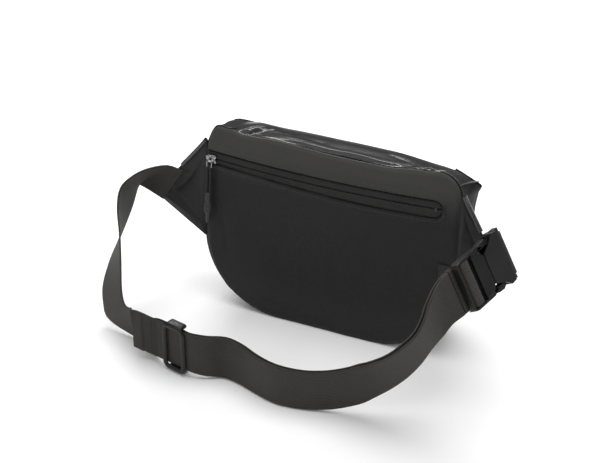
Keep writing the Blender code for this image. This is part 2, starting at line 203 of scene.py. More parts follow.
class Rail:
    """A curve read by its share of length."""

    def __init__(self, points: Iterable[Sequence[float]]) -> None:
        """Measure the curve.

        Args:
            points: Corners of the curve, all of two or all of three numbers.
        """
        self.points = [Vector(p) for p in points]
        self.marks = [0.0]
        for first, second in zip(self.points, self.points[1:]):
            self.marks.append(self.marks[-1] + (second - first).length)

    @property
    def length(self) -> float:
        """Length of the whole curve."""
        return self.marks[-1]

    def at(self, share: float) -> Vector:
        """Return the point at a share of the length.

        Args:
            share: Share of the length, held between 0 and 1.

        Returns:
            The point.
        """
        target = min(1.0, max(0.0, share)) * self.length
        i = next((k for k, mark in enumerate(self.marks[1:]) if target <= mark), len(self.points) - 2)
        span = self.marks[i + 1] - self.marks[i]
        return mix(self.points[i], self.points[i + 1], (target - self.marks[i]) / span if span else 0.0)

    def along(self, share: float) -> Vector:
        """Return the direction of the curve at a share of the length."""
        step = 0.01
        return (self.at(share + step) - self.at(share - step)).normalized()


@dataclass(frozen=True)
class Crease:
    """A sharp fold pressed into a surface, as a line in the surface's own two coordinates."""

    start: Pair
    end: Pair
    depth: float
    reach: float

    def height(self, a: float, b: float) -> float:
        """Return how far the fold moves the surface at one point; negative is inwards.

        Args:
            a: First coordinate on the surface.
            b: Second coordinate on the surface.

        Returns:
            The move, negative inwards.
        """
        start, line = Vector(self.start), Vector(self.end) - Vector(self.start)
        point = Vector((a, b))
        share = min(1.0, max(0.0, (point - start).dot(line) / line.length_squared))
        return -self.depth * math.exp(-(point - start - line * share).length / self.reach)


# --- Finishes ----------------------------------------------------------------------------------
def linear(code: str) -> tuple[float, float, float, float]:
    """Return the linear colour of an sRGB hex value such as 1a2b3c.

    Args:
        code: Six hex digits.

    Returns:
        Red, green, blue and an alpha of 1.
    """
    values = [int(code[i:i + 2], 16) / 255 for i in (0, 2, 4)]
    red, green, blue = (v / 12.92 if v <= 0.04045 else ((v + 0.055) / 1.055) ** 2.4 for v in values)
    return red, green, blue, 1.0


def add(tree: bpy.types.NodeTree, kind: str, settings: dict | None = None, values: dict | None = None,
        links: dict | None = None) -> bpy.types.Node:
    """Add a node to a tree.

    Args:
        tree: Tree that gets the node.
        kind: Blender's name of the node.
        settings: The node's own properties.
        values: Input values by name or index.
        links: Sockets that feed the inputs, by name or index.

    Returns:
        The new node.
    """
    made = tree.nodes.new(kind)
    for name, value in (settings or {}).items():
        setattr(made, name, value)
    for name, value in (values or {}).items():
        made.inputs[name].default_value = value
    for name, socket in (links or {}).items():
        tree.links.new(socket, made.inputs[name])
    return made


class Pattern(Enum):
    """How a surface is made."""

    WOVEN = "plain weave"
    RIBBED = "webbing with ribs along its length"
    KNITTED = "tape with fine ribs across"
    BRAIDED = "braid"
    COATED = "cloth under a film"
    MOULDED = "moulded grain"


@dataclass(frozen=True)
class Threads:
    """One set of parallel threads in a pattern."""

    direction: str
    pitch: float = 1.0                # against the finish's own pitch
    height: float = 1.0
    wobble: float = 0.4
    lean: float = 0.0                 # degrees


# Each pattern's two sets of threads, how their heights join, and whether fine grain lies on top.
THREADS = {
    Pattern.WOVEN: ((Threads("X"), Threads("Y")), "MULTIPLY", True),
    Pattern.RIBBED: ((Threads("Y"), Threads("X", 0.55, 0.45)), "ADD", True),
    Pattern.KNITTED: ((Threads("X"), Threads("Y", 1.7, 0.35)), "ADD", False),
    Pattern.BRAIDED: ((Threads("X", wobble=0.0, lean=50.0), Threads("X", wobble=0.0, lean=-50.0)),
                      "MULTIPLY", False),
}


class Space(Enum):
    """Where a pattern takes its coordinates from."""

    SURFACE = "UV"
    SOLID = "Object"


@dataclass(frozen=True)
class Finish:
    """A real material: two tones, a pattern of a real size, and its gloss, with an optional lighter colour
    towards the top that is painted light.
    """

    name: str
    slot: str
    colour: str
    shade: str
    roughness: float
    pattern: Pattern
    pitch: float                      # millimetres between threads or grains
    relief: float                     # millimetres of bump
    space: Space = Space.SURFACE
    spread: float = 0.06              # how far roughness varies
    patch: float = 28.0               # millimetres across one patch of tone
    metallic: float = 0.0
    specular: float = 0.5
    coat: float = 0.0
    coat_roughness: float = 0.2
    sheen: float = 0.0
    painted_light: str = ""                   # lighter colour towards the top: painted light on the upper part of the piece
    painted_light_span: Pair = (0.0, 1.0)           # metres above the floor where the painted light starts and ends

    def height(self, tree: bpy.types.NodeTree, where: bpy.types.NodeSocket) -> bpy.types.NodeSocket:
        """Return the pattern's height from coordinates in millimetres.

        Args:
            tree: Tree that gets the nodes.
            where: Coordinates in millimetres.

        Returns:
            The height, from 0 to about 2.
        """
        grain = add(tree, "ShaderNodeTexNoise", None, {"Scale": 0.8 / self.pitch, "Detail": 3.0},
                    {"Vector": where}).outputs["Fac"]
        if self.pattern is Pattern.MOULDED:
            return grain
        if self.pattern is Pattern.COATED:
            film = add(tree, "ShaderNodeTexVoronoi", {"feature": "SMOOTH_F1"}, {"Scale": 0.35 / self.pitch},
                       {"Vector": where})
            return add(tree, "ShaderNodeMath", {"operation": "ADD"}, None,
                       {0: film.outputs["Distance"], 1: grain}).outputs[0]
        sets, how, grained = THREADS[self.pattern]
        rows = []
        for threads in sets:
            turned = add(tree, "ShaderNodeMapping", None,
                         {"Rotation": (0.0, 0.0, math.radians(threads.lean))},
                         {"Vector": where}).outputs[0]
            # A sine band repeats every pi / 10 of its own unit.
            scale = math.pi / 10 / (self.pitch * threads.pitch)
            wave = add(tree, "ShaderNodeTexWave", {"bands_direction": threads.direction},
                       {"Scale": scale, "Distortion": threads.wobble, "Detail": 1.0}, {"Vector": turned})
            rows.append(add(tree, "ShaderNodeMath", {"operation": "MULTIPLY"}, {1: threads.height},
                            {0: wave.outputs["Fac"]}).outputs[0])
        weave = add(tree, "ShaderNodeMath", {"operation": how}, None, dict(enumerate(rows))).outputs[0]
        if not grained:
            return weave
        return add(tree, "ShaderNodeMath", {"operation": "ADD"}, None, {0: weave, 1: grain}).outputs[0]

    def material(self) -> bpy.types.Material:
        """Return the material, made once.

        Returns:
            The material, the same one for every piece with this finish.
        """
        made = bpy.data.materials.get(self.name)
        if made:
            return made
        made = bpy.data.materials.new(self.name)
        made.use_nodes = True
        tree = made.node_tree
        shader = tree.nodes["Principled BSDF"]
        place = add(tree, "ShaderNodeTexCoord").outputs[self.space.value]
        where = add(tree, "ShaderNodeVectorMath", {"operation": "SCALE"}, {"Scale": 1 / MM},
                    {0: place}).outputs[0]
        height = self.height(tree, where)
        cloud = add(tree, "ShaderNodeTexNoise", None, {"Scale": 1 / self.patch, "Detail": 4.0},
                    {"Vector": where})
        tone = add(tree, "ShaderNodeMath", {"operation": "MULTIPLY"}, None,
                   {0: cloud.outputs["Fac"], 1: height}).outputs[0]
        ramp = add(tree, "ShaderNodeValToRGB", None, None, {"Fac": tone})
        ramp.color_ramp.elements[0].position, ramp.color_ramp.elements[1].position = 0.1, 0.7
        ramp.color_ramp.elements[0].color = linear(self.shade)
        ramp.color_ramp.elements[1].color = linear(self.colour)
        gloss = add(tree, "ShaderNodeMapRange", None,
                    {"From Min": 0.3, "From Max": 0.7, "To Min": self.roughness - self.spread,
                     "To Max": self.roughness + self.spread}, {"Value": cloud.outputs["Fac"]})
        bump = add(tree, "ShaderNodeBump", None, {"Strength": 1.0, "Distance": self.relief * MM},
                   {"Height": height})
        colour = ramp.outputs["Color"]
        # Painted light: the colour is mixed towards a lighter one with height, so the upper part looks more
        # brightly lit.
        if self.painted_light:
            solid = add(tree, "ShaderNodeTexCoord").outputs["Object"]
            rise = add(tree, "ShaderNodeSeparateXYZ", None, None, {0: solid}).outputs["Z"]
            share = add(tree, "ShaderNodeMapRange", {"interpolation_type": "SMOOTHSTEP"},
                        {"From Min": self.painted_light_span[0], "From Max": self.painted_light_span[1]},
                        {"Value": rise}).outputs["Result"]
            lit_colour_mix = add(tree, "ShaderNodeMix", {"data_type": "RGBA"}, {7: linear(self.painted_light)},
                       {0: share, 6: colour})
            colour = lit_colour_mix.outputs[2]
        tree.links.new(colour, shader.inputs["Base Color"])
        tree.links.new(gloss.outputs["Result"], shader.inputs["Roughness"])
        tree.links.new(bump.outputs["Normal"], shader.inputs["Normal"])
        shader.inputs["Metallic"].default_value = self.metallic
        shader.inputs["Specular IOR Level"].default_value = self.specular
        shader.inputs["Coat Weight"].default_value = self.coat
        shader.inputs["Coat Roughness"].default_value = self.coat_roughness
        shader.inputs["Sheen Weight"].default_value = self.sheen
        return made


# Matt 420-denier nylon pack cloth, plain woven: soft, near black, with a faint speckle. Its real
# threads are 0.4 mm apart and are drawn at 1.1 mm, so that they show.
# From 122 to 158 mm above the floor the colour is painted lighter: painted light on the upper panel, not a
# change in the cloth.
BACK_CLOTH = Finish("back_cloth_plain_woven_nylon", "back_nylon", "232222", "141313", 0.62, Pattern.WOVEN,
                    1.1, 0.12, specular=0.3, sheen=0.05, painted_light="383736", painted_light_span=(0.122, 0.158))
# Nylon under a polyurethane film: smooth black that shines along every fold.
SHELL_CLOTH = Finish("shell_cloth_film_coated_nylon", "shell_nylon", "1f1f1f", "151515", 0.23,
                     Pattern.COATED, 1.4, 0.007, spread=0.03, specular=0.17)
# The gussets show the same cloth where it is left uncalendered: the film is duller.
GUSSET_CLOTH = Finish("gusset_cloth_dull_film_nylon", "shell_nylon", "201f1f", "151515", 0.56,
                      Pattern.COATED, 1.4, 0.03, spread=0.05, specular=0.06)
# Wings of the same nylon with a thinner film: half gloss.
WING_CLOTH = Finish("wing_cloth_half_gloss_nylon", "back_nylon", "202021", "131314", 0.36, Pattern.WOVEN,
                    0.9, 0.05, specular=0.3, coat=0.06, coat_roughness=0.25)
# Woven polyester webbing, warm grey-black, with fine ribs along its length and a dry surface.
WEBBING = Finish("belt_webbing_woven_polyester", "webbing", "373533", "1e1d1c", 0.74, Pattern.RIBBED, 1.55,
                 0.16, specular=0.25, sheen=0.08)
# Folded grosgrain binding with a flat, shiny face. Its grey is lighter than the cloth as a painted highlight,
# for the bright line of shine along the bound edge.
BINDING = Finish("edge_binding_grosgrain", "binding", "4a4a4b", "2a2a2b", 0.24, Pattern.KNITTED, 0.9, 0.04,
                 coat=0.6, coat_roughness=0.12)
# Plain twill tape of the blank tag.
TAG_TAPE = Finish("tag_tape_woven_twill", "binding", "1f1f1f", "141414", 0.6, Pattern.WOVEN, 0.9, 0.05)
# Zip tape: knitted polyester, ribbed across.
ZIP_TAPE = Finish("zip_tape_knitted_polyester", "zip_tape", "343332", "1c1b1b", 0.66, Pattern.KNITTED, 1.3,
                  0.14, specular=0.3)
# Zip chain: polyester monofilament, glossy black.
ZIP_CHAIN = Finish("zip_chain_monofilament", "zip_coil", "141414", "0c0c0c", 0.35, Pattern.MOULDED, 0.8,
                   0.02, Space.SOLID)
# Die-cast zinc, tumbled and nickel plated: light grey metal.
ZIP_METAL = Finish("zip_parts_plated_zinc", "zip_metal", "b4b4b6", "8f8f92", 0.26, Pattern.MOULDED, 0.7,
                   0.02, Space.SOLID, metallic=1.0)
# Braided accessory cord.
CORD = Finish("pull_cord_braided_nylon", "cord", "2a2a2a", "151515", 0.68, Pattern.BRAIDED, 0.9, 0.14)
# Moulded thermoplastic rubber: soft dark grey, with a dusty sheen.
GRIP = Finish("pull_grip_moulded_rubber", "grip", "3b3a39", "2a2929", 0.55, Pattern.MOULDED, 0.6, 0.10,
              Space.SOLID)
# Injection-moulded acetal: satin black with a fine spark-eroded grain.
ACETAL = Finish("buckle_moulded_acetal", "acetal", "1b1b1b", "131313", 0.40, Pattern.MOULDED, 0.5, 0.03,
                Space.SOLID, specular=0.32)
# Light pocket lining: thin woven polyester.
LINING = Finish("pocket_lining_woven_polyester", "lining", "48484c", "38383b", 0.6, Pattern.WOVEN, 0.8,
                0.06)
# Closed-cell polyethylene foam.
FOAM = Finish("back_foam_closed_cell", "foam", "55555a", "3e3e42", 0.85, Pattern.MOULDED, 0.9, 0.15,
              Space.SOLID)
# Bonded polyester thread, a little shinier and lighter than the cloth it lies on.
THREAD = Finish("seam_thread_bonded_polyester", "binding", "464544", "2c2c2c", 0.45, Pattern.MOULDED, 0.5,
                0.02, Space.SOLID)


# --- Mesh makers -------------------------------------------------------------------------------
def slab(columns: int, rows: int, place: Place, size: Pair, gather: bool = False) -> bmesh.types.BMesh:
    """Return a closed sheet with an outer and an inner face.

    Args:
        columns: Parts along the first direction.
        rows: Parts along the second direction.
        place: Gives a point from two shares and a face, 1 for the outer face and 0 for the inner.
        size: Real length of both directions, for the cloth's own coordinates.
        gather: Crowds the rows at both edges.

    Returns:
        The sheet, in millimetres.
    """
    sheet = bmesh.new()
    for face in (1.0, 0.0):
        made = bmesh.ops.create_grid(sheet, x_segments=columns, y_segments=rows, size=0.5,
                                     matrix=Matrix.Translation((0.0, 0.0, face)))
        if not face:
            bmesh.ops.reverse_faces(sheet, faces=list({f for v in made["verts"] for f in v.link_faces}))
    bmesh.ops.bridge_loops(sheet, edges=[e for e in sheet.edges if e.is_boundary])
    layer = sheet.loops.layers.uv.new("cloth")
    shares = {}
    for vert in sheet.verts:
        u, v = vert.co.x + 0.5, vert.co.y + 0.5
        if gather:
            v = 0.5 + 0.5 * math.sin((v - 0.5) * math.pi)
        shares[vert] = (u, v)
    for poly in sheet.faces:
        for loop in poly.loops:
            u, v = shares[loop.vert]
            loop[layer].uv = (u * size[0] * MM, v * size[1] * MM)
    for vert in sheet.verts:
        vert.co = place(*shares[vert], vert.co.z)
    bmesh.ops.recalc_face_normals(sheet, faces=sheet.faces)
    return sheet


def tube(path: Sequence[Vector], radius: float, sides: int = 10, closed: bool = False, flat: float = 1.0,
         up: Vector | None = None) -> bmesh.types.BMesh:
    """Return a round or flattened tube along a path.

    Args:
        path: Points of the centreline.
        radius: Half the width.
        sides: Faces around.
        closed: Joins the last point to the first.
        flat: Height as a share of width.
        up: Direction in which the tube is flattened.

    Returns:
        The tube, in millimetres, with its ends closed.
    """
    points = list(path)
    count = len(points)
    up = up or Vector((0.0, 0.0, 1.0))
    made = bmesh.new()
    columns = count if closed else count - 1
    bmesh.ops.create_grid(made, x_segments=columns, y_segments=sides, size=0.5)
    layer = made.loops.layers.uv.new("cloth")
    length = Rail(points).length
    for poly in made.faces:
        for loop in poly.loops:
            loop[layer].uv = ((loop.vert.co.x + 0.5) * length * MM,
                              (loop.vert.co.y + 0.5) * 2 * math.pi * radius * MM)
    for vert in made.verts:
        i = round((vert.co.x + 0.5) * columns)
        angle = (vert.co.y + 0.5) * 2 * math.pi
        before = points[(i - 1) % count] if closed else points[max(i - 1, 0)]
        after = points[(i + 1) % count] if closed else points[min(i + 1, count - 1)]
        along = (after - before).normalized()
        side = along.cross(up)
        side = side.normalized() if side.length > 1e-6 else along.orthogonal().normalized()
        rise = side.cross(along)
        vert.co = points[i % count] + side * radius * math.cos(angle) + rise * radius * flat * math.sin(angle)
    bmesh.ops.remove_doubles(made, verts=made.verts, dist=1e-4)
    if not closed:
        bmesh.ops.holes_fill(made, edges=[e for e in made.edges if e.is_boundary])
    bmesh.ops.recalc_face_normals(made, faces=made.faces)
    return made


def plate(outline: Sequence[Pair], low: float, high: float, rounding: float = 0.0) -> bmesh.types.BMesh:
    """Return a flat plate with an outline in its first two coordinates.

    Args:
        outline: Corners of the outline.
        low: Lower face.
        high: Upper face.
        rounding: Width of the rounded edges.

    Returns:
        The plate.
    """
    made = bmesh.new()
    corners = [made.verts.new((a, b, low)) for a, b in outline]
    bmesh.ops.contextual_create(made, geom=corners)
    grown = bmesh.ops.extrude_face_region(made, geom=list(made.faces))
    raised = [g for g in grown["geom"] if isinstance(g, bmesh.types.BMVert)]
    bmesh.ops.translate(made, vec=(0.0, 0.0, high - low), verts=raised)
    bmesh.ops.recalc_face_normals(made, faces=made.faces)
    if rounding:
        bmesh.ops.bevel(made, geom=list(made.edges), offset=rounding, segments=2, profile=0.5, affect="EDGES",
                        material=-1)
    return made


def block(low: Triple, high: Triple, rounding: float = 0.0, segments: int = 2) -> bmesh.types.BMesh:
    """Return a box between two corners, with rounded edges where a rounding is given.

    Args:
        low: Lowest corner.
        high: Highest corner.
        rounding: Width of the rounded edges.
        segments: Parts across a rounded edge.

    Returns:
        The box.
    """
    made = bmesh.new()
    size = Vector(high) - Vector(low)
    middle = (Vector(high) + Vector(low)) / 2
    bmesh.ops.create_cube(made, size=1.0, matrix=Matrix.Translation(middle) @ Matrix.Diagonal((*size, 1.0)))
    if rounding:
        bmesh.ops.bevel(made, geom=list(made.edges), offset=rounding, segments=segments, profile=0.5,
                        affect="EDGES", material=-1)
    return made


def joined(parts: Iterable[bmesh.types.BMesh]) -> bmesh.types.BMesh:
    """Return one mesh that holds several.

    Args:
        parts: The meshes, which are used up.

    Returns:
        The whole.
    """
    whole = bmesh.new()
    for part in parts:
        mesh = bpy.data.meshes.new("part")
        part.to_mesh(mesh)
        part.free()
        whole.from_mesh(mesh)
        bpy.data.meshes.remove(mesh)
    return whole


def carved(base: bmesh.types.BMesh, tools: Iterable[tuple[str, bmesh.types.BMesh]]) -> bmesh.types.BMesh:
    """Return a solid after tools are cut from it or joined to it.

    Args:
        base: The solid.
        tools: DIFFERENCE or UNION with the tool's solid, in order.

    Returns:
        The finished solid.
    """
    def shown(made: bmesh.types.BMesh, name: str) -> bpy.types.Object:
        """Put a mesh in the scene.

        Args:
            made: The mesh, which is used up.
            name: Name of its object.

        Returns:
            The object.
        """
        mesh = bpy.data.meshes.new(name)
        made.to_mesh(mesh)
        made.free()
        found = bpy.data.objects.new(name, mesh)
        bpy.context.scene.collection.objects.link(found)
        return found

    body = shown(base, "blank")
    used = []
    for how, tool in tools:
        used.append(shown(tool, "tool"))
        cut = body.modifiers.new(how, "BOOLEAN")
        cut.operation, cut.solver, cut.object = how, "EXACT", used[-1]
    graph = bpy.context.evaluated_depsgraph_get()
    result = bmesh.new()
    result.from_object(body, graph)
    for item in (body, *used):
        bpy.data.objects.remove(item)
    bmesh.ops.dissolve_limit(result, angle_limit=math.radians(1), verts=result.verts, edges=result.edges)
    return result


def finished(name: str, made: bmesh.types.BMesh, finish: Finish, body: str | None = None,
             nodes: Sequence[str] = (), sharp: float = 40.0, matrix: Matrix | None = None,
             rounding: float = 0.0) -> bpy.types.Object:
    """Turn a mesh into a shown piece.

    Args:
        name: Name of the piece.
        made: Its mesh in millimetres.
        finish: Its material.
        body: CAD body that it moves with, or None where it is blended later.
        nodes: CAD nodes that it stands for.
        sharp: Angle in degrees past which an edge stays sharp.
        matrix: Place of a mesh made in its own frame.
        rounding: Width of a Bevel modifier on sharp edges.

    Returns:
        The piece.
    """
    if matrix:
        made.transform(matrix)
    bmesh.ops.scale(made, vec=(MM, MM, MM), verts=made.verts)
    mesh = bpy.data.meshes.new(name)
    made.to_mesh(mesh)
    made.free()
    mesh.shade_smooth()
    mesh.set_sharp_from_angle(angle=math.radians(sharp))
    mesh.materials.append(finish.material())
    piece = bpy.data.objects.new(name, mesh)
    bpy.context.scene.collection.objects.link(piece)
    if rounding:
        bevel = piece.modifiers.new("edges", "BEVEL")
        bevel.width, bevel.segments, bevel.limit_method = rounding * MM, 2, "ANGLE"
        bevel.angle_limit = math.radians(35)
        bevel.harden_normals = True
    if body:
        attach(piece, body)
    if nodes:
        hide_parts(*nodes)
    LOG.info("%s: %d faces", name, len(mesh.polygons))
    return piece


@dataclass(frozen=True)
class Seam:
    """A row of sewn stitches."""

    pitch: float = 2.9
    length: float = 2.1
    radius: float = 0.3

    def sew(self, name: str, lines: Iterable[Sequence[Vector]], body: str | None) -> bpy.types.Object:
        """Lay stitches along lines.

        Args:
            name: Name of the piece.
            lines: Points of each line, on the cloth.
            body: CAD body that the stitches move with.

        Returns:
            The piece with all its stitches.
        """
        made = bmesh.new()
        for line in lines:
            rail = Rail(line)
            count = max(1, int(rail.length / self.pitch))
            for i in range(count):
                share = (i + 0.5) / count
                turn = rail.along(share).to_track_quat("X", "Z").to_matrix().to_4x4()
                shape = Matrix.Diagonal((self.length / 2, self.radius, self.radius, 1.0))
                bmesh.ops.create_uvsphere(made, u_segments=6, v_segments=4, radius=1.0,
                                          matrix=Matrix.Translation(rail.at(share)) @ turn @ shape)
        return finished(name, made, THREAD, body, sharp=80)


def filled(bottom: Rail, top: Rail, left: Rail, right: Rail) -> Area:
    """Return a map from two shares to the area inside four sides.

    Args:
        bottom: Lower side, left to right.
        top: Upper side, left to right.
        left: Left side, upwards.
        right: Right side, upwards.

    Returns:
        The map, exact along the four sides.
    """
    def point(u: float, v: float) -> Vector:
        """Return the point at two shares.

        Args:
            u: Share of the way to the right.
            v: Share of the way up.

        Returns:
            The point, in the sides' own coordinates.
        """
        sides = mix(bottom.at(u), top.at(u), v) + mix(left.at(v), right.at(v), u)
        corners = mix(mix(bottom.at(0), bottom.at(1), u), mix(top.at(0), top.at(1), u), v)
        return sides - corners
    return point


# --- Pack body ---------------------------------------------------------------------------------
LOW_ARC = arc((44.0, 72.0), (74.5, 72.0), -90, 0, 16)
BACK_CORNER = arc((CORNER_X, BACK_TOP - TOP_RADIUS), (TOP_RADIUS, TOP_RADIUS), 0, 90, 12)
# The front's upper corners are boxed: a point where three cloths meet, below the top edge.
FRONT_CORNERS = {
    -1: [(118.5, 138.0), (119.4, 143.0), (119.8, 150.0), (118.6, 155.0), (115.5, 158.4), (110.0, 159.8),
         (103.0, 160.0), (CORNER_X, 159.6)],
    1: [(118.5, 138.0), (119.8, 140.5), (120.6, 143.0), (119.3, 144.6), (114.5, 146.6), (108.5, 149.6),
        (102.0, 152.6), (CORNER_X, 154.6)],
}
FRONT_SIDE = [(117.6, 84.0), (116.0, 98.0), (115.2, 110.0), (116.2, 124.0), (HALF_WIDTH, FRONT_PANEL_TOP)]


def zip_bow(x: float) -> float:
    """Return how far the rear zip bows from a straight line at one place."""
    return 3.6 * (x / 108) ** 2 - 2.0 - 0.003 * x


@dataclass
class BackPanel:
    """Padded back panel, its zip window, and the lining and foam behind it."""

    window: float = 7.4               # from the zip to the upper edge of its window
    window_left: float = -116.8
    window_right: float = 104.0
    window_z: float = 140.3
    recess: float = 2.7
    swell: float = 1.7
    rim: float = 1.5                  # how far the panel thins at its sewn edge
    hem_width: float = 6.5
    hem_rise: float = 0.62
    stitch_inset: float = 2.4
    hem_steps: int = 160
    creases: tuple[Crease, ...] = (
        Crease((-108, 128), (-96, 60), 0.7, 5), Crease((62, 128), (96, 131), 0.6, 3),
        Crease((-60, 20), (10, 8), 0.5, 6), Crease((40, 9), (80, 26), 0.5, 5))
    puckers: tuple[float, ...] = (86, 91, 95.5, 100)   # places of the short puckers under the window

    def sides(self, inset: float = 0.0) -> Area:
        """Return the map of the panel's area, inside its edge by an inset.

        Args:
            inset: Distance inside the edge.

        Returns:
            The map from two shares to x and z.
        """
        share_x, share_z = 1 - inset / HALF_WIDTH, 1 - 2 * inset / BACK_TOP
        low = [(x * share_x, inset + z * share_z) for x, z in LOW_ARC]
        high = [(x * share_x, inset + z * share_z) for x, z in BACK_CORNER]
        right = low[8:] + high[:7]
        bottom = mirrored(reversed(low[:9])) + low[:9]
        top = mirrored(high[6:]) + list(reversed(high[6:]))
        return filled(Rail(bottom), Rail(top), Rail(mirrored(right)), Rail(right))

    def depth(self, x: float, z: float) -> float:
        """Return the height of the padded surface, without its edge and window.

        Args:
            x: Place along the pack.
            z: Height up the panel.

        Returns:
            The height, outwards.
        """
        swell = self.swell * (1 - (x / HALF_WIDTH) ** 2) * ease(z / 45) * ease((132 - z) / 60)
        ripple = crumple(x, z, 55, 0.9, 3.1) + crumple(x, z * 0.5, 21, 0.25, 7.7)
        creases = sum(c.height(x, z) for c in self.creases)
        puckers = sum(Crease((a, 131.0), (a + 1.5, 124.5), 0.55, 1.1).height(x, z) for a in self.puckers)
        return swell + (ripple + creases) * ease((130 - z) / 20 + 0.25) + puckers

    def below(self, x: float) -> float:
        """Return the distance from the zip to the lower edge of its window."""
        return mix(5.6, 9.6, ease((x - self.window_left) / 170))

    def tape_reach(self, x: float, side: int) -> float:
        """Return how far a tape reaches from the zip before the dark slit at its window's edge.

        Args:
            x: Place along the pack.
            side: 1 for the upper tape and -1 for the lower.

        Returns:
            The reach.
        """
        past = max(0.0, x - (self.window_right - self.window)) / (self.window - 0.9)
        reach = self.window if side > 0 else self.below(x)
        return 0.4 + (reach - 1.3) * math.sqrt(max(0.01, 1 - past * past))

    def in_window(self, x: float, z: float) -> float:
        """Return 1 inside the zip window and 0 outside it, with a soft wall between.

        Args:
            x: Place along the pack.
            z: Height up the panel.

        Returns:
            The share, from 0 to 1.
        """
        middle = self.window_z + zip_bow(x)
        reach = self.window if z > middle else self.below(x)
        past = max(0.0, x - (self.window_right - self.window))
        away = math.hypot(past / self.window, (z - middle) / reach) * reach - reach
        away = max(away, self.window_left - x)
        return ease(0.5 - away / 1.2)

    def build(self) -> None:
        """Make the panel, its hem, its stitches, the lining and the foam."""
        area = self.sides()

        def place(u: float, v: float, face: float) -> Vector:
            """Return a point of the padded panel.

            Args:
                u: Share of the way along.
                v: Share of the way up.
                face: 1 for the outer face and 0 for the inner.

            Returns:
                The point in the pack's millimetres.
            """
            x, z = area(u, v)
            if not face:
                return on_back(x, z, -PANEL)
            edge = min(u, 1 - u, v, 1 - v) * 200
            rim = -self.rim * (1 - ease(edge / 4.5))
            sunk = self.in_window(x, z)
            return on_back(x, z, (self.depth(x, z) + rim) * (1 - sunk) - self.recess * sunk)

        panel = finished("back_panel_padded", slab(150, 110, place, (2 * HALF_WIDTH, BACK_TOP)),
                         BACK_CLOTH, "pack", ["back_panel"], 60)
        self.hem()
        for name, finish, inset, outer, thick, nodes in (
            ("rear_pocket_lining_cloth", LINING, 4.5, -3.4, 0.6, ["rear_pocket_lining"]),
            ("back_foam_sheet", FOAM, 6.0, -4.7, 3.8, ["back_foam"]),
        ):
            inner_area = self.sides(inset)

            def layer(u: float, v: float, face: float, shape: Area = inner_area, top: float = outer,
                      deep: float = thick) -> Vector:
                """Return a point of a layer behind the panel.

                Args:
                    u: Share of the way along.
                    v: Share of the way up.
                    face: 1 for the outer face and 0 for the inner.
                    shape: Map of the layer's area.
                    top: Depth of its outer face.
                    deep: Its thickness.

                Returns:
                    The point in the pack's millimetres.
                """
                x, z = shape(u, v)
                edge = min(u, 1 - u, v, 1 - v) * 200
                middle, half = top - deep / 2, deep / 2 * math.sqrt(max(0.05, min(1.0, edge / 3)))
                return on_back(x, z, middle + (half if face else -half))

            piece = finished(name, slab(48, 36, layer, (228, 164)), finish, "pack", nodes, 50)

    def outline(self, out: float) -> Rail:
        """Return the window's edge, moved outwards, from its lower left to its upper left end.

        Args:
            out: Distance outwards.

        Returns:
            The edge, open at its left end.
        """
        points = []
        turn = self.window_right - self.window
        steps = 60
        for i in range(steps + 1):
            x = mix(self.window_left, turn, i / steps)
            points.append((x, self.window_z + zip_bow(x) - self.below(x) - out))
        centre = (turn, self.window_z + zip_bow(turn))
        points += arc(centre, (self.window + out, self.below(turn) + out), -84, 0, 8)
        points += arc(centre, (self.window + out, self.window + out), 6, 84, 8)
        for i in range(steps + 1):
            x = mix(turn, self.window_left, i / steps)
            points.append((x, self.window_z + zip_bow(x) + self.window + out))
        return Rail(points)

    def hem(self) -> None:
        """Make the folded hem round the window, its row of stitches and the bartack."""
        inside, outside = self.outline(0.0), self.outline(self.hem_width)

        def place(u: float, v: float, face: float) -> Vector:
            """Return a point of the hem.

            Args:
                u: Share of the way round the window.
                v: Share of the way outwards.
                face: 1 for the outer face and 0 for the inner.

            Returns:
                The point in the pack's millimetres.
            """
            x, z = mix(inside.at(u), outside.at(u), v)
            rise = self.hem_rise * ease(v / 0.10) * (1 - ease((v - 0.25) / 0.75)) + 0.05
            top = self.depth(x, z) + rise
            if v < 0.001:
                top -= 0.5
            return on_back(x, z, top if face else top - 1.1)

        finished("rear_window_hem", slab(self.hem_steps, 10, place, (inside.length, self.hem_width)),
                 BACK_CLOTH, "pack", sharp=50)
        row = self.outline(self.stitch_inset)
        spots = [row.at(i / self.hem_steps) for i in range(self.hem_steps + 1)]
        line = [on_back(p.x, p.y, self.depth(p.x, p.y) + self.hem_rise) for p in spots]
        end = self.window_right
        z = self.window_z + zip_bow(end)
        height = self.depth(end, z) + 0.9
        tack = [[on_back(end - 0.5 + k * 0.8, z + s, height) for s in (-5.5, 0, 5.5)] for k in range(4)]
        Seam().sew("rear_window_stitches", [line], "pack")
        Seam(1.5, 1.6, 0.35).sew("rear_window_bartack", tack, "pack")


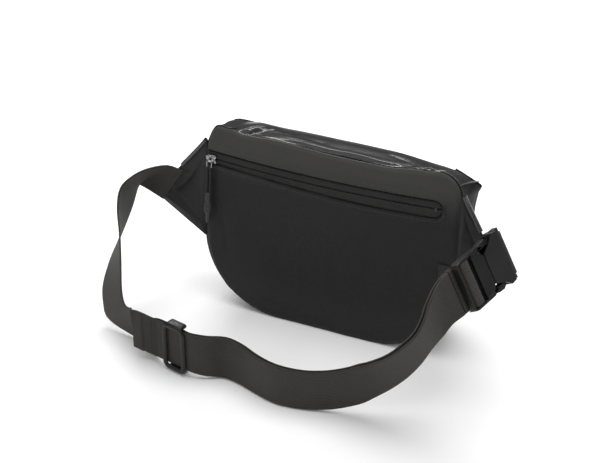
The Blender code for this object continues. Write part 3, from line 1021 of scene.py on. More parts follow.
@dataclass
class Shell:
    """Gussets, base, top, front and boxed corners of film-coated nylon."""

    cloth: float = 1.3
    base_half: float = 44.2           # half the base's width, between the rounded corners
    base_inset: Pair = (3.2, 0.2)     # the base inside the back and the front
    belly: float = 3.4                # how far the front panel bulges
    gusset_creases: tuple[Crease, ...] = (
        Crease((0.15, 0.2), (0.45, 0.9), 2.2, 0.05), Crease((0.5, 0.1), (0.62, 0.75), 1.8, 0.04),
        Crease((0.75, 0.85), (0.95, 0.2), 2.0, 0.05), Crease((0.86, 0.1), (1.0, 0.5), 1.6, 0.05))
    top_creases: tuple[Crease, ...] = (
        Crease((-80, 2), (-70, 26), 1.2, 4.0),
        Crease((44, 26), (86, 18), 0.9, 5.5), Crease((-70, 24), (-20, 19), 0.6, 6.0),
        Crease((66, 1), (72, 15), 2.6, 2.0), Crease((79, 1), (74, 16), 2.8, 2.0),
        Crease((92, 3), (84, 20), 1.8, 3.0))
    front_creases: tuple[Crease, ...] = (
        Crease((-80, 120), (-30, 60), 1.6, 7), Crease((90, 125), (30, 88), 1.4, 6),
        Crease((-60, 30), (20, 22), 1.2, 6), Crease((64, 34), (96, 70), 1.5, 6))

    def rails(self, side: int) -> tuple[Rail, Rail, Rail, Rail]:
        """Return the back and front edges of a side, below and above the zip's level."""
        side_low = [*LOW_ARC, (HALF_WIDTH, BACK_TOP - TOP_RADIUS)]
        return Rail(side_low), Rail([*LOW_ARC, *FRONT_SIDE]), Rail(BACK_CORNER), Rail(FRONT_CORNERS[side])

    def gusset(self, side: int, upper: bool) -> bmesh.types.BMesh:
        """Return one side's gusset, its lower or its upper part.

        Args:
            side: -1 for the left and 1 for the right.
            upper: Picks the part above the front panel's top edge.

        Returns:
            The cloth.
        """
        low_back, low_front, high_back, high_front = self.rails(side)
        back, front = (high_back, high_front) if upper else (low_back, low_front)
        seed = 2.0 + side + upper * 5

        def place(u: float, v: float, face: float) -> Vector:
            """Return a point of the gusset.

            Args:
                u: Share of the way up the side.
                v: Share of the way from the back to the front.
                face: 1 for the outer face and 0 for the inner.

            Returns:
                The point in the pack's millimetres.
            """
            b, f = back.at(u), front.at(u)
            start, end = on_back(side * b.x, b.y, -PANEL - 0.1), on_front(side * f.x, f.y, 0.0)
            point = mix(start, end, v)
            way = mix(back.along(u), front.along(u), v)
            out = Vector((side * way.y, 0.0, -way.x)).normalized()
            free = math.sin(math.pi * min(1.0, max(0.0, v))) * ease(u * 8 if not upper else 1.0)
            top = 1.2 * free + free * crumple(u * 160 / (3 if upper else 1), v * 60, 34, 2.6, seed)
            calm = 0.45 if upper else 1 - 0.75 * ease((u - 0.55) / 0.25)
            top = top * calm + free * sum(c.height(u, v) for c in self.gusset_creases) * calm * calm
            top += 0.9 * math.exp(-v * 60 / 2.2)
            point += out * (top if face else top - self.cloth)
            point.z = max(point.z, 0.1 if face else 0.1 + self.cloth)
            return point

        return slab(26 if upper else 90, 30, place, (back.length, 58))

    def sides(self) -> None:
        """Make both gussets; the lower part bends between the pack and the opening front."""
        for name, side in (("left", -1), ("right", 1)):
            low = finished(f"side_gusset_{name}_lower", self.gusset(side, False), GUSSET_CLOTH, None,
                           [f"side_gusset_{name}"], 55)
            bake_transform(low)
            finished(f"side_gusset_{name}_upper", self.gusset(side, True), GUSSET_CLOTH, "pack",
                     [f"side_gusset_{name}"], 55)

    def base(self) -> None:
        """Make the flat base between the gussets."""
        behind, before = self.base_inset

        def place(u: float, v: float, face: float) -> Vector:
            """Return a point of the base.

            Args:
                u: Share of the way along.
                v: Share of the way to the front.
                face: 1 for the inner face and 0 for the one on the floor.

            Returns:
                The point in the pack's millimetres.
            """
            x, y = mix(-self.base_half, self.base_half, u), mix(-BASE_DEPTH / 2 + behind, FRONT_Y - before, v)
            sag = 0.5 * math.sin(math.pi * u) * math.sin(math.pi * v)
            return Vector((x, y, 0.05 + sag if face == 0 else 2.0 + sag))

        finished("base_cloth", slab(30, 20, place, (88, 56)), SHELL_CLOTH, "pack", ["base_panel"], 50)

    def top(self) -> None:
        """Make the top with its folds, turned down in a lip over the main zip."""
        start = on_back(98.0, BACK_TOP, -PANEL - 0.1)   # where the edge doesn't hang
        half = CORNER_X + 3
        slope = Rail([(start.y, start.z), (FRONT_Y + 0.6, FRONT_TOP - 0.4),
                      (FRONT_Y + SHELL, FRONT_TOP - 2.6),
                      (FRONT_Y + SHELL, LIP_Z)])

        def place(u: float, v: float, face: float) -> Vector:
            """Return a point of the top and its lip.

            Args:
                u: Share of the way along.
                v: Share of the way from the back seam to the lip's edge.
                face: 1 for the outer face and 0 for the inner.

            Returns:
                The point in the pack's millimetres.
            """
            x = mix(-half, half, u)
            profile = slope.at(v)
            run = v * slope.length
            way = slope.along(v)
            out = Vector((0.0, -way.y, way.x))
            end = ease((half - abs(x)) / 14)
            free = ease(run / 5) * ease((slope.length - run) / 14)
            # A rounded ridge along the back seam, and two folds that cross it at its ends.
            ridge = 3.2 * math.exp(-((run - 6.0) / 5.2) ** 2) * ease((x + 62) / 50)
            ridge *= 1 - 0.75 * ease((x - 52) / 14)
            ridge *= 0.85 + 0.15 * math.sin(x / 9.0)
            ridge += 1.8 * math.exp(-((run - 6.0) / 5.0) ** 2 - ((x - 86) / 9) ** 2)
            ridge += 2.6 * math.exp(-((x + 88 - run * 0.35) / 5.0) ** 2) * ease(run / 6) * ease((30 - run) / 14)
            rise = free * (crumple(x, run * 1.2, 60, 1.2, 5.5) + 0.8)
            rise += free * sum(c.height(x, run) for c in self.top_creases) + ridge
            drop = 5.0 * ease((x - 40) / 56) * ease(run / 30) - 1.0 * ease((-x - 60) / 36) * ease(run / 30)
            base = Vector((x, profile.x, profile.y - drop + hang(x) * (1 - ease(run / 34))))
            rise = rise * end - 0.7 * (1 - end)
            return base + out * (rise if face else rise - self.cloth)

        finished("top_cloth", slab(190, 52, place, (2 * half, slope.length)), SHELL_CLOTH, "pack",
                 ["top_panel"], 50)
        line = []
        for i in range(101):
            line.append(Vector((mix(-half, half, i / 100), FRONT_Y + SHELL + 0.15, LIP_Z + 2.2)))
        Seam().sew("top_lip_stitches", [line], "pack")

    def front(self) -> None:
        """Make the front panel, which swings, and the two boxed corners beside the zip."""
        right = [*LOW_ARC[8:], *FRONT_SIDE]
        bottom = mirrored(reversed(LOW_ARC[:9])) + LOW_ARC[:9]
        top = [(-HALF_WIDTH, FRONT_PANEL_TOP), (HALF_WIDTH, FRONT_PANEL_TOP)]
        area = filled(Rail(bottom), Rail(top), Rail(mirrored(right)), Rail(right))

        def place(u: float, v: float, face: float) -> Vector:
            """Return a point of the front panel.

            Args:
                u: Share of the way along.
                v: Share of the way up.
                face: 1 for the outer face and 0 for the inner.

            Returns:
                The point in the pack's millimetres.
            """
            x, z = area(u, v)
            free = ease(min(u, 1 - u, v, 1 - v) * 7)
            belly = self.belly * (1 - (x / HALF_WIDTH) ** 2) * ease(z / 50)
            belly *= ease((FRONT_PANEL_TOP - z) / 40 + 0.1)
            folds = sum(c.height(x, z) for c in self.front_creases)
            depth = belly + free * (crumple(x, z, 48, 2.2, 9.3) + folds)
            edge = min(u, 1 - u, v) * 190
            top_face = SHELL - 0.4 - 1.4 * (1 - ease(edge / 4)) + depth
            return on_front(x, z, top_face if face else top_face - self.cloth)

        finished("front_cloth", slab(110, 80, place, (2 * HALF_WIDTH, FRONT_PANEL_TOP)), SHELL_CLOTH,
                 "front", ["front_panel"], 55)
        row_z, row_depth = FRONT_PANEL_TOP - 3, SHELL - 0.2 + self.belly * 0.15
        line = [on_front(mix(-94, 94, i / 100), row_z, row_depth) for i in range(101)]
        Seam().sew("front_panel_stitches", [line], "front")
        for name, side in (("left", -1), ("right", 1)):
            def corner(u: float, v: float, face: float, turn: int = side,
                       rail: Rail = Rail(FRONT_CORNERS[side])) -> Vector:
                """Return a point of a boxed corner.

                Args:
                    u: Share of the way outwards.
                    v: Share of the way up.
                    face: 1 for the outer face and 0 for the inner.
                    turn: -1 for the left and 1 for the right.
                    rail: The corner's outer edge.

                Returns:
                    The point in the pack's millimetres.
                """
                inner = Vector((CORNER_X, mix(FRONT_PANEL_TOP + 0.3, rail.at(1.0).y, v)))
                x, z = mix(inner, rail.at(v), u)
                rise = 0.8 * math.sin(math.pi * u) + crumple(x, z, 14, 0.8, 4.0 + turn)
                return on_front(turn * x, z, SHELL + rise - 0.3 if face else SHELL + rise - 0.3 - self.cloth)

            finished(f"front_corner_{name}_cloth", slab(18, 18, corner, (24, 21)), SHELL_CLOTH, "pack",
                     [f"front_corner_{name}"], 55)

    def piping(self) -> None:
        """Make the turned seam edges that stand proud along the back and the corner seams."""
        for name, side in (("left", -1), ("right", 1)):
            low_back, _, high_back, high_front = self.rails(side)
            points = [low_back.at(i / 60) for i in range(61)] + [high_back.at(i / 20) for i in range(1, 21)]
            path = [on_back(side * p.x * 1.002, max(p.y + 0.1, 1.15), -PANEL + 0.1) for p in points]
            finished(f"back_seam_{name}", tube(path, 0.95, 8, up=Vector((0, 1, 0))), SHELL_CLOTH, "pack",
                     sharp=70)
            ridge = []
            for i in range(19):
                v = i / 18
                b, f = high_back.at(0.42), high_front.at(mix(0.42, 0.33, v))
                point = mix(on_back(side * b.x, b.y, -PANEL), on_front(side * f.x, f.y, SHELL), v)
                ridge.append(point + Vector((side * 0.7, 0, 0.8)) * (0.4 + math.sin(math.pi * v)))
            finished(f"corner_seam_{name}", tube(ridge, 0.7, 8), SHELL_CLOTH, "pack", sharp=70)

    def build(self) -> None:
        """Make every piece of the shell."""
        self.sides()
        self.base()
        self.top()
        self.front()
        self.piping()


# --- Zips --------------------------------------------------------------------------------------
@dataclass
class Zip:
    """A reversed coil zip: flat tapes that meet over the chain, and a slider with a corded pull."""

    prefix: str
    surface: Callable[[float, float, float], Vector]
    left: float
    right: float
    middle: float
    depth: float
    slider_x: float
    body_lower: str
    bow: Callable[[float], float] = field(default=lambda x: 0.0)
    half: float = 7.9
    thick: float = 0.9
    pitch: float = 1.5                # millimetres between coil turns
    nudge: Pair = (0.0, 0.0)          # the slider against the straight line of its travel
    reach: Callable[[float, int], float] | None = None   # width of a tape where it isn't even

    def tape(self, side: int) -> bmesh.types.BMesh:
        """Return the upper or lower tape.

        Args:
            side: 1 for the upper tape and -1 for the lower.

        Returns:
            The tape.
        """
        def place(u: float, v: float, face: float) -> Vector:
            """Return a point of the tape.

            Args:
                u: Share of the way along.
                v: Share of the way from the chain to the tape's edge.
                face: 1 for the outer face and 0 for the inner.

            Returns:
                The point in the pack's millimetres.
            """
            x = mix(self.left, self.right, u)
            width = self.reach(x, side) if self.reach else self.half
            away = mix(0.42, width, v)
            z = self.middle + self.bow(x) + side * away
            rise = 0.6 * math.exp(-((away - 1.7) / 1.3) ** 2) - 0.5 * math.exp(-((away - 0.42) / 0.45) ** 2)
            rise -= 0.9 * ease((away - width + 0.9) / 0.9)
            top = self.depth + rise
            return self.surface(x, z, top if face else top - self.thick)

        return slab(150, 12, place, (self.right - self.left, self.half))

    def chain(self) -> bmesh.types.BMesh:
        """Return the interlocked coil in the groove between the tapes.

        Returns:
            The coil, one small bead for each turn.
        """
        made = bmesh.new()
        for i in range(int((self.right - self.left - 7) / self.pitch)):
            x = self.left + 3 + i * self.pitch
            shift = 0.25 if i % 2 else -0.25
            point = self.surface(x, self.middle + self.bow(x) + shift, self.depth - 0.75)
            bead = Matrix.Translation(point) @ Matrix.Diagonal((0.62, 0.6, 1.15, 1.0))
            bmesh.ops.create_uvsphere(made, u_segments=6, v_segments=4, radius=1.0, matrix=bead)
        return made

    def placed(self, made: bmesh.types.BMesh) -> bmesh.types.BMesh:
        """Move a mesh from the zip's own x, z and depth to the frame.

        Args:
            made: The mesh, which is moved.

        Returns:
            The same mesh.
        """
        for vert in made.verts:
            vert.co = self.surface(*vert.co)
        bmesh.ops.recalc_face_normals(made, faces=made.faces)
        return made

    def slider(self) -> bmesh.types.BMesh:
        """Return the slider: a waisted body, side walls and the arch that holds the pull.

        Returns:
            The slider.
        """
        x, z, low = self.slider_x + self.nudge[0], self.middle + self.nudge[1], self.depth + 1.1
        shape = [(x - 5, z - 2.6), (x - 3, z - 3.6), (x + 2.0, z - 3.9), (x + 5, z - 3.9), (x + 5, z - 1.2),
                 (x + 3.6, z), (x + 5, z + 1.2), (x + 5, z + 3.9), (x + 2.0, z + 3.9), (x - 3, z + 3.6),
                 (x - 5, z + 2.6)]
        arch = [Vector((x - 0.6, z + 2.6 - 5.2 * i / 10, low + 1.0 + 1.9 * math.sin(math.pi * i / 10)))
                for i in range(11)]
        return self.placed(joined([plate(shape, low, low + 1.3, 0.45),
                                   tube(arch, 0.75, 8, up=Vector((1, 0, 0)))]))

    def pull(self) -> None:
        """Make the wire puller, the doubled cord and the moulded grip."""
        x, z, face = self.slider_x + self.nudge[0], self.middle + self.nudge[1], self.depth + 4.4
        body = self.prefix.split("_")[0] + "_pull"
        loop = [Vector((x + a, z + b, face + 0.9)) for a, b in
                arc((0, -2.0), (2.2, 1.2), 0, 180, 8) + arc((0, -6.2), (2.2, 1.3), 180, 360, 8)]
        wire = tube(loop, 0.75, 8, True, up=Vector((0, 0, 1)))
        finished(f"{self.prefix}_wire_puller", self.placed(wire), ZIP_METAL, body, [f"{self.prefix}_puller"])
        strand = [Vector((x + 1.35, z - 34 + 3.4 * i, face + 1.3 + 0.2 * math.sin(i))) for i in range(8)]
        turn = [Vector((x + 1.35 * math.cos(a), z - 8.6 + 1.9 * math.sin(a), face + 1.3 + 0.5 * math.sin(a)))
                for a in (math.radians(d) for d in range(20, 161, 20))]
        strand += turn + [Vector((x - 1.4, p.y, p.z + 0.1)) for p in reversed(strand[:8])]
        cord = tube(spline(strand, 2), 1.25, 8, up=Vector((0, 0, 1)))
        finished(f"{self.prefix}_doubled_cord", self.placed(cord), CORD, body, [f"{self.prefix}_pull_cord"],
                 60)
        outline = [(-30.5, 0.0), (-30.5, 2.2), (-31.3, 2.5), (-38.0, 2.6), (-38.6, 2.2), (-39.4, 3.1)]
        outline += [(-39.4 - k * 1.1, 3.1 + 0.55 * math.sin(math.pi * k / 9) + (0.25 if k % 2 else -0.25))
                    for k in range(1, 10)]
        outline += [(-49.6, 2.8), (-50.4, 2.2), (-51.5, 1.9), (-58.0, 1.75), (-59.5, 1.2), (-60.0, 0.0)]
        made = bmesh.new()
        verts = [made.verts.new((0.0, along, out)) for along, out in outline]
        edges = [made.edges.new(pair) for pair in zip(verts, verts[1:])]
        bmesh.ops.spin(made, geom=verts + edges, cent=(0, 0, 0), axis=(0, 1, 0), angle=2 * math.pi, steps=18,
                       use_merge=True)
        bmesh.ops.remove_doubles(made, verts=made.verts, dist=1e-3)
        for vert in made.verts:
            vert.co = Vector((x + vert.co.x, z + vert.co.y, face + 2.5 + vert.co.z * 0.85))
        finished(f"{self.prefix}_moulded_grip", self.placed(made), GRIP, body, [f"{self.prefix}_pull_grip"],
                 75)

    def build(self) -> None:
        """Make every piece of the zip."""
        finished(f"{self.prefix}_upper_tape", self.tape(1), ZIP_TAPE, "pack", [f"{self.prefix}_tape_upper"],
                 60)
        finished(f"{self.prefix}_lower_tape", self.tape(-1), ZIP_TAPE, self.body_lower,
                 [f"{self.prefix}_tape_lower"], 60)
        finished(f"{self.prefix}_chain", self.chain(), ZIP_CHAIN, "pack", [f"{self.prefix}_coil"], 80)
        slider_body = self.prefix.split("_")[0] + "_slider"
        finished(f"{self.prefix}_slider_body", self.slider(), ZIP_METAL, slider_body,
                 [f"{self.prefix}_slider"])
        self.pull()


# --- Wings, webbing and hardware ---------------------------------------------------------------
# Belt stations: middle of the strap, then the direction from its lower to its upper edge.
BELT = [
    ((-156.2, -20.5, 109.4), (21, 2.5, 32.5)), ((-171, -21.5, 114), (31, -5, 29)),
    ((-178.5, -28.5, 113.5), (22, -18, 33)), ((-182.5, -37.5, 110), (11, -25, 31)),
    ((-184.5, -47, 103), (3.5, -26, 29)), ((-184, -57, 90), (7, -27, 26)),
    ((-180, -70, 75), (17, -27, 21)), ((-177, -86, 54.5), (28, -23, 17)),
    ((-174, -98, 36), (33, -18, 15.5)), ((-167.5, -105.5, 23.5), (35, -17, 20)),
    ((-155, -112.5, 20.3), (26, -15, 31)), ((-137, -119.5, 18.8), (10, -15, 33)),
    ((-119, -126, 20.8), (2, -10, 36)), ((-106, -131.6, 24), (0, 0, 38)),
    ((-94, -134.4, 24.2), (0, 0, 38)), ((-82, -137.2, 24.2), (0, 0, 38)),
    ((-71, -139.4, 23.9), (0, 0, 38)), ((-59, -135.8, 21.8), (0, 2, 38)),
    ((-45, -128, 19.4), (0, 4, 38)), ((-28, -131, 19.4), (-1, 3, 38)),
    ((-8, -139, 19.4), (0, 0, 38)), ((12, -144, 19.4), (0, 0, 38)),
    ((34, -142, 19.6), (0, -1, 38)), ((55, -137, 22.5), (-1, -2.5, 38)),
    ((73.5, -133, 29.4), (-2.5, -6.4, 37.4)), ((87, -132, 38.3), (-4.1, -12.6, 35.6)),
    ((100.2, -131, 48.5), (-4, -17.4, 33.5)), ((111.5, -130, 59.5), (-4.3, -21.5, 31)),
    ((121.7, -128, 72.8), (-3.3, -23.6, 29.6)), ((128.5, -125, 84.5), (-2.6, -25.2, 28.4)),
    ((132.9, -121, 94.5), (-4.6, -22.5, 30.1)), ((135.6, -116, 103), (-8.5, -15.4, 31)),
    ((137.6, -109, 108.4), (-11.8, -9.3, 31.7)), ((139.8, -101.2, 111.2), (-15.2, -3, 32.4)),
    ((141.9, -93.3, 112.4), (-18.4, 2.8, 33.1)),
]
Frame = tuple[Vector, Vector, Vector]


@dataclass
class Strap:
    """A flat woven strap through frames of middle, half width and outward direction."""

    thick: float = 1.5

    def frames(self, points: Sequence[Vector], halves: Sequence[Vector]) -> list[Frame]:
        """Return frames along a line, each half width made square to the line.

        Args:
            points: Middles of the strap.
            halves: Directions of its width, one for each middle.

        Returns:
            Middle, half width and outward direction at each point.
        """
        last = len(points) - 1
        made = []
        for i, point in enumerate(points):
            along = (points[min(i + 1, last)] - points[max(i - 1, 0)]).normalized()
            half = halves[i] * (STRAP / 2 / halves[i].cross(along).length)
            made.append((point, half, along.cross(half).normalized()))
        return made

    def weave(self, frames: Sequence[Frame], offset: float = 0.0, hem: float = 0.0,
              steps: int = 2) -> bmesh.types.BMesh:
        """Return the strap.

        Args:
            frames: Frames along its middle.
            offset: Distance outwards from the frames.
            hem: Length of a folded hem at the first end.
            steps: Parts between two frames.

        Returns:
            The strap, with woven edges a little thicker than its middle.
        """
        rail = Rail([f[0] for f in frames])
        last = len(frames) - 1

        def place(u: float, v: float, face: float) -> Vector:
            """Return a point of the strap.

            Args:
                u: Share of the way along.
                v: Share of the way across.
                face: 1 for the outer face and 0 for the inner.

            Returns:
                The point in the pack's millimetres.
            """
            i = min(int(u * last), last - 1)
            share = u * last - i
            middle, half, out = (mix(frames[i][k], frames[i + 1][k], share) for k in range(3))
            across = 2 * v - 1
            edge = abs(across)
            rounded = math.sqrt(max(0.0, 1 - max(0.0, (edge - 0.95) / 0.05) ** 2))
            half_thick = (self.thick / 2 + 0.08 * ease((edge - 0.84) / 0.06)) * max(0.12, rounded)
            lift = offset + (half_thick if face else -half_thick)
            run = u * rail.length
            if hem and run < hem and face:
                lift += 1.1 * ease((hem - run) / 1.2)
            if hem:
                lift += 2.0 * max(0.0, 1 - run / 12) ** 2 * ease((across + 0.1) / 1.1)
            return middle + half * across + out.normalized() * lift

        return slab(last * steps, 14, place, (rail.length, STRAP), gather=True)


@dataclass
class Buckle:
    """Side-release buckle in its own frame: u to the male's end, v across, n outwards."""

    bar: Triple = (160.5, -24.0, 117.0)
    axis: Triple = (-0.185, -0.983, -0.02)
    outward: Triple = (0.857, -0.161, 0.49)
    # Outlines as u and v: the female's skin, half of the male's plate and of its shoulder, and one arm.
    skin: tuple[Pair, ...] = (
        (4.6, -22.4), (11.5, -23.0), (14.2, -21.2), (19.5, -17.2), (30.6, -13.2), (31.3, -11.0),
        (31.3, 11.0), (30.6, 13.2), (19.5, 17.2), (14.2, 21.2), (11.5, 23.0), (4.6, 22.4))
    plate_side: tuple[Pair, ...] = (
        (31.8, 12.4), (35.6, 16.6), (33.3, 17.2), (33.3, 20.6), (35.5, 21.6), (61.0, 21.5), (65.4, 20.4),
        (67.0, 17.6))
    shoulder: tuple[Pair, ...] = ((31.8, 12.4), (35.6, 16.6), (44.0, 18.6), (46.4, 18.4))
    arm: tuple[Pair, ...] = (
        (32.9, 17.2), (32.9, 20.8), (28.0, 22.2), (21.0, 22.6), (17.0, 20.6), (13.2, 17.0), (13.2, 13.8),
        (17.0, 14.4), (21.5, 17.4), (26.5, 18.4))

    def frame(self) -> Matrix:
        """Return the matrix from the buckle's frame to the pack's.

        Returns:
            The matrix, in millimetres.
        """
        u = Vector(self.axis).normalized()
        n = Vector(self.outward)
        n = (n - u * n.dot(u)).normalized()
        matrix = Matrix((u, n.cross(u), n)).transposed().to_4x4()
        matrix.translation = Vector(self.bar)
        return matrix

    def female(self) -> None:
        """Make the female: bar, ears, and two skins that narrow to the mouth."""
        body = carved(plate(self.skin, -5.5, 5.5), [
            ("DIFFERENCE", block((8.0, -19.0, -3.7), (40.0, 19.0, 3.7))),
            ("DIFFERENCE", block((12.5, -30.0, -3.7), (40.0, 30.0, 3.7))),
            ("UNION", block((-1.4, -22.9, -2.6), (6.0, -19.7, 2.6))),
            ("UNION", block((-1.4, 19.7, -2.6), (6.0, 22.9, 2.6))),
        ])
        bar = tube([Vector((0.0, -21.0 + 4.2 * i, 0.0)) for i in range(11)], 1.35, 12)
        finished("buckle_female_body", joined([body, bar]), ACETAL, "pack", ["buckle_female"], 35,
                 self.frame(), 0.7)

    def male(self) -> None:
        """Make the male plate with its two webbing slots and bars."""
        shape = [*self.plate_side, *((u, -v) for u, v in reversed(self.plate_side))]
        crescent = [(47.6, -19.4)] + [(52.4 - 1.6 * (v / 19.4) ** 2 * 0.9, v) for v in
                                      (-19.4, -14, -8, 0, 8, 14, 19.4)] + [(47.6, 19.4)]
        body = carved(plate(shape, -3.6, 3.6), [
            ("DIFFERENCE", plate(crescent, -6, 6)),
            ("DIFFERENCE", block((59.4, -19.4, -6), (64.2, 19.4, 6))),
            ("DIFFERENCE", block((45.0, -19.4, 1.6), (64.2, 19.4, 6))),
            ("DIFFERENCE", block((46.0, -19.4, -6), (70.0, 19.4, -1.6))),
        ])
        raised = plate([*self.shoulder, *((u, -v) for u, v in reversed(self.shoulder))], 3.2, 5.2)
        for vert in raised.verts:
            if vert.co.z > 4 and vert.co.x > 40:
                vert.co.z = 3.9
        body = joined([body, raised])
        finished("buckle_male_plate", body, ACETAL, "buckle_plug", ["buckle_male"], 35, self.frame(), 0.7)

    def prongs(self) -> None:
        """Make the two sprung arms, each clear of the skin so that it can be squeezed."""
        for name, side in (("left", 1), ("right", -1)):
            made = plate([(u, side * v) for u, v in self.arm], -3.1, 3.1)
            finished(f"buckle_{name}_arm", made, ACETAL, f"prong_{name}", [f"buckle_prong_{name}"], 35,
                     self.frame(), 0.6)

    def build(self) -> None:
        """Make every moulded piece of the buckle."""
        self.female()
        self.male()
        self.prongs()


@dataclass
class Belt:
    """Webbing of the belt, its loops, its adjuster and the two hip wings."""

    strap: Strap
    buckle: Buckle
    layer: float = 2.9
    samples: int = 4
    tail: int = 12
    wing_thick: float = 3.6
    wing_top: Pair = (118.8, 157.0)
    wing_low: Pair = (118.8, 66.0)
    wing_way: Pair = (0.857, 0.515)
    left_tip: Pair = (145.0, 126.0)
    right_tip: Pair = (138.5, 125.0)
    wing_creases: tuple[Crease, ...] = (
        Crease((0.1, 0.95), (0.8, 0.35), 1.3, 0.06), Crease((0.05, 0.55), (0.7, 0.75), 0.9, 0.05),
        Crease((0.2, 0.1), (0.95, 0.45), 0.9, 0.05))
    tuck: float = 4.5                 # how far the belt's start runs under the left wing
    hem: float = 19.0                 # folded end of the tail
    tail_end: tuple[Triple, ...] = ((-130, -132.6, 30.0), (-123, -132.8, 28.6), (-116, -132.5, 26.8),
                                    (-109.5, -132.1, 25.2))
    # Round the male's two bars and back, as u and n of the buckle's frame.
    lock_path: tuple[Pair, ...] = (
        (70.5, -3.6), (66.0, -3.2), (63.4, -2.0), (61.9, 0.2), (60.8, 2.4), (58.0, 3.0), (53.8, 3.0),
        (51.0, 2.2), (50.0, -0.5), (50.6, -3.4), (53.0, -5.6), (58.0, -6.4), (70.5, -6.5))
    adjuster_at: Pair = (-87.0, 24.2)
    adjuster_half: Pair = (10.3, 20.9)
    adjuster_corner: float = 4.4
    tag_low: Pair = (104.2, 78.0)
    tag_high: Pair = (113.6, 92.0)

    def route(self) -> list[Frame]:
        """Return the frames of the whole belt.

        Returns:
            The frames, from the left wing to the buckle.
        """
        points = [Vector(c) for c, _ in BELT]
        points[0] += (points[0] - points[1]).normalized() * self.tuck
        middles = spline(points, self.samples)
        edges = spline([Vector(w) for _, w in BELT], self.samples)
        return self.strap.frames(middles, edges)

    def webbing(self) -> None:
        """Make both layers of the belt, which stretch with the plug."""
        frames = self.route()
        main = finished("belt_webbing_main", self.strap.weave(frames), WEBBING, None,
                        ["belt_main_left", "belt_main_right"], 60)
        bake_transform(main)
        first = (self.tail + 1) * self.samples
        free = spline([Vector(p) for p in self.tail_end], 4)
        upright = Vector((0.0, 0.0, 1.0))
        tail = [*self.strap.frames(free[:-1], [upright] * len(free[:-1])), *frames[first:]]
        back = finished("belt_webbing_return", self.strap.weave(tail, self.layer, self.hem), WEBBING, None,
                        ["belt_return_left", "belt_return_right"], 60)
        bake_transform(back)
        rail = Rail([f[0] for f in tail])
        rows = []
        for run in (15.5, 17.5):
            i = next(k for k in range(len(tail)) if rail.marks[k] >= run)
            middle, half, out = tail[i]
            rows.append([middle + half * s + out * (self.layer + 1.9) for s in (-0.86, 0.0, 0.86)])
        Seam(2.6, 2.0, 0.3).sew("belt_tail_stitches", rows, "pack")

    def bent(self, points: Sequence[Pair], steps: int) -> list[Frame]:
        """Return frames of a strap bent in the buckle's u and n plane.

        Args:
            points: Middles of the strap as u and n.
            steps: Samples between two of them.

        Returns:
            The frames, in the pack's millimetres.
        """
        path = spline([Vector((u, 0.0, n)) for u, n in points], steps)
        matrix = self.buckle.frame()
        half = matrix.to_3x3() @ Vector((0.0, STRAP / 2, 0.0))
        return self.strap.frames([matrix @ p for p in path], [half] * len(path))

    def loops(self) -> None:
        """Make the webbing that is locked round the male's bar and the loop that holds the female."""
        finished("belt_webbing_lock", self.strap.weave(self.bent(self.lock_path, 4)), WEBBING, "buckle_plug",
                 ["belt_lock_loop"], 60)
        way = Vector(self.wing_way).normalized()
        edge = Vector(self.right_tip) + Vector((way.y, -way.x)) * STRAP / 2
        start = on_back(edge.x, edge.y, -self.wing_thick / 2) + Vector((way.x, 0, way.y)) * 2.0
        local = self.buckle.frame().inverted() @ start
        u0, n0 = local.x, local.z
        ring = arc((0.0, 0.0), (3.1, 3.1), -20, 180, 5)
        points = [(u0 + 1.0, n0), (u0 + 2.2, n0 + 5.0), (1.6, -2.9), *ring, (-2.4, -2.8),
                  (u0 - 0.6, n0 + 5.0),
                  (u0 - 1.2, n0)]
        finished("wing_webbing_loop", self.strap.weave(self.bent(points, 4)), WEBBING, "pack",
                 ["wing_loop"], 60)

    def wings(self) -> None:
        """Make the hip wings, each with a bound upper edge and sewn sides."""
        way = Vector(self.wing_way).normalized()
        down = Vector((way.y, -way.x)) * STRAP
        for name, side, tip in (("left", -1, self.left_tip), ("right", 1, self.right_tip)):
            low_tip = Vector(tip) + down
            out_way = way * (1.6 if side < 0 else 1.2)
            near = Rail([self.wing_low, self.wing_top])
            far = Rail([low_tip + out_way, Vector(tip) + out_way])

            def place(u: float, v: float, face: float, turn: int = side, a: Rail = near,
                      b: Rail = far) -> Vector:
                """Return a point of the wing.

                Args:
                    u: Share of the way out to the tip.
                    v: Share of the way up.
                    face: 1 for the outer face and 0 for the inner.
                    turn: -1 for the left and 1 for the right.
                    a: The edge at the pack.
                    b: The edge at the tip.

                Returns:
                    The point in the pack's millimetres.
                """
                x, z = mix(a.at(v), b.at(v), u)
                edge = min(u, 1 - u, v, 1 - v)
                half = self.wing_thick / 2 * (0.45 + 0.55 * ease(edge * 9))
                folds = sum(c.height(u, v) for c in self.wing_creases) * 0.7
                lean = ease(edge * 4) * (folds + crumple(x, z, 18, 1.0, 6.0 + turn))
                return on_back(turn * x, z, -self.wing_thick / 2 + lean + (half if face else -half))

            finished(f"wing_{name}_cloth", slab(40, 44, place, (36, 90)), WING_CLOTH, "pack",
                     [f"wing_{name}"], 55)
            along = (Vector(tip) - Vector(self.wing_top)).normalized()
            out = Vector((-along.y, along.x))
            first, last = Vector(self.wing_top) + along * 1.0, Vector(tip) - along * 4.0

            def bind(u: float, v: float, face: float, turn: int = side, p: Vector = first,
                     q: Vector = last, n: Vector = out) -> Vector:
                """Return a point of the binding.

                Args:
                    u: Share of the way along.
                    v: Share of the way round the wing's edge.
                    face: 1 for the outer face and 0 for the inner.
                    turn: -1 for the left and 1 for the right.
                    p: First end of the edge.
                    q: Last end of the edge.
                    n: Direction out of the edge.

                Returns:
                    The point in the pack's millimetres.
                """
                angle = (v - 0.5) * math.pi * 1.5
                x, z = mix(p, q, u) + n * (0.2 + 1.5 * math.cos(angle) + 0.9)
                reach = (2.35 if face else 1.75) * math.sin(angle)
                x, z = Vector((x, z)) + n * (0.35 * math.cos(angle) if face else 0.0)
                return on_back(turn * x, z, -self.wing_thick / 2 + reach)

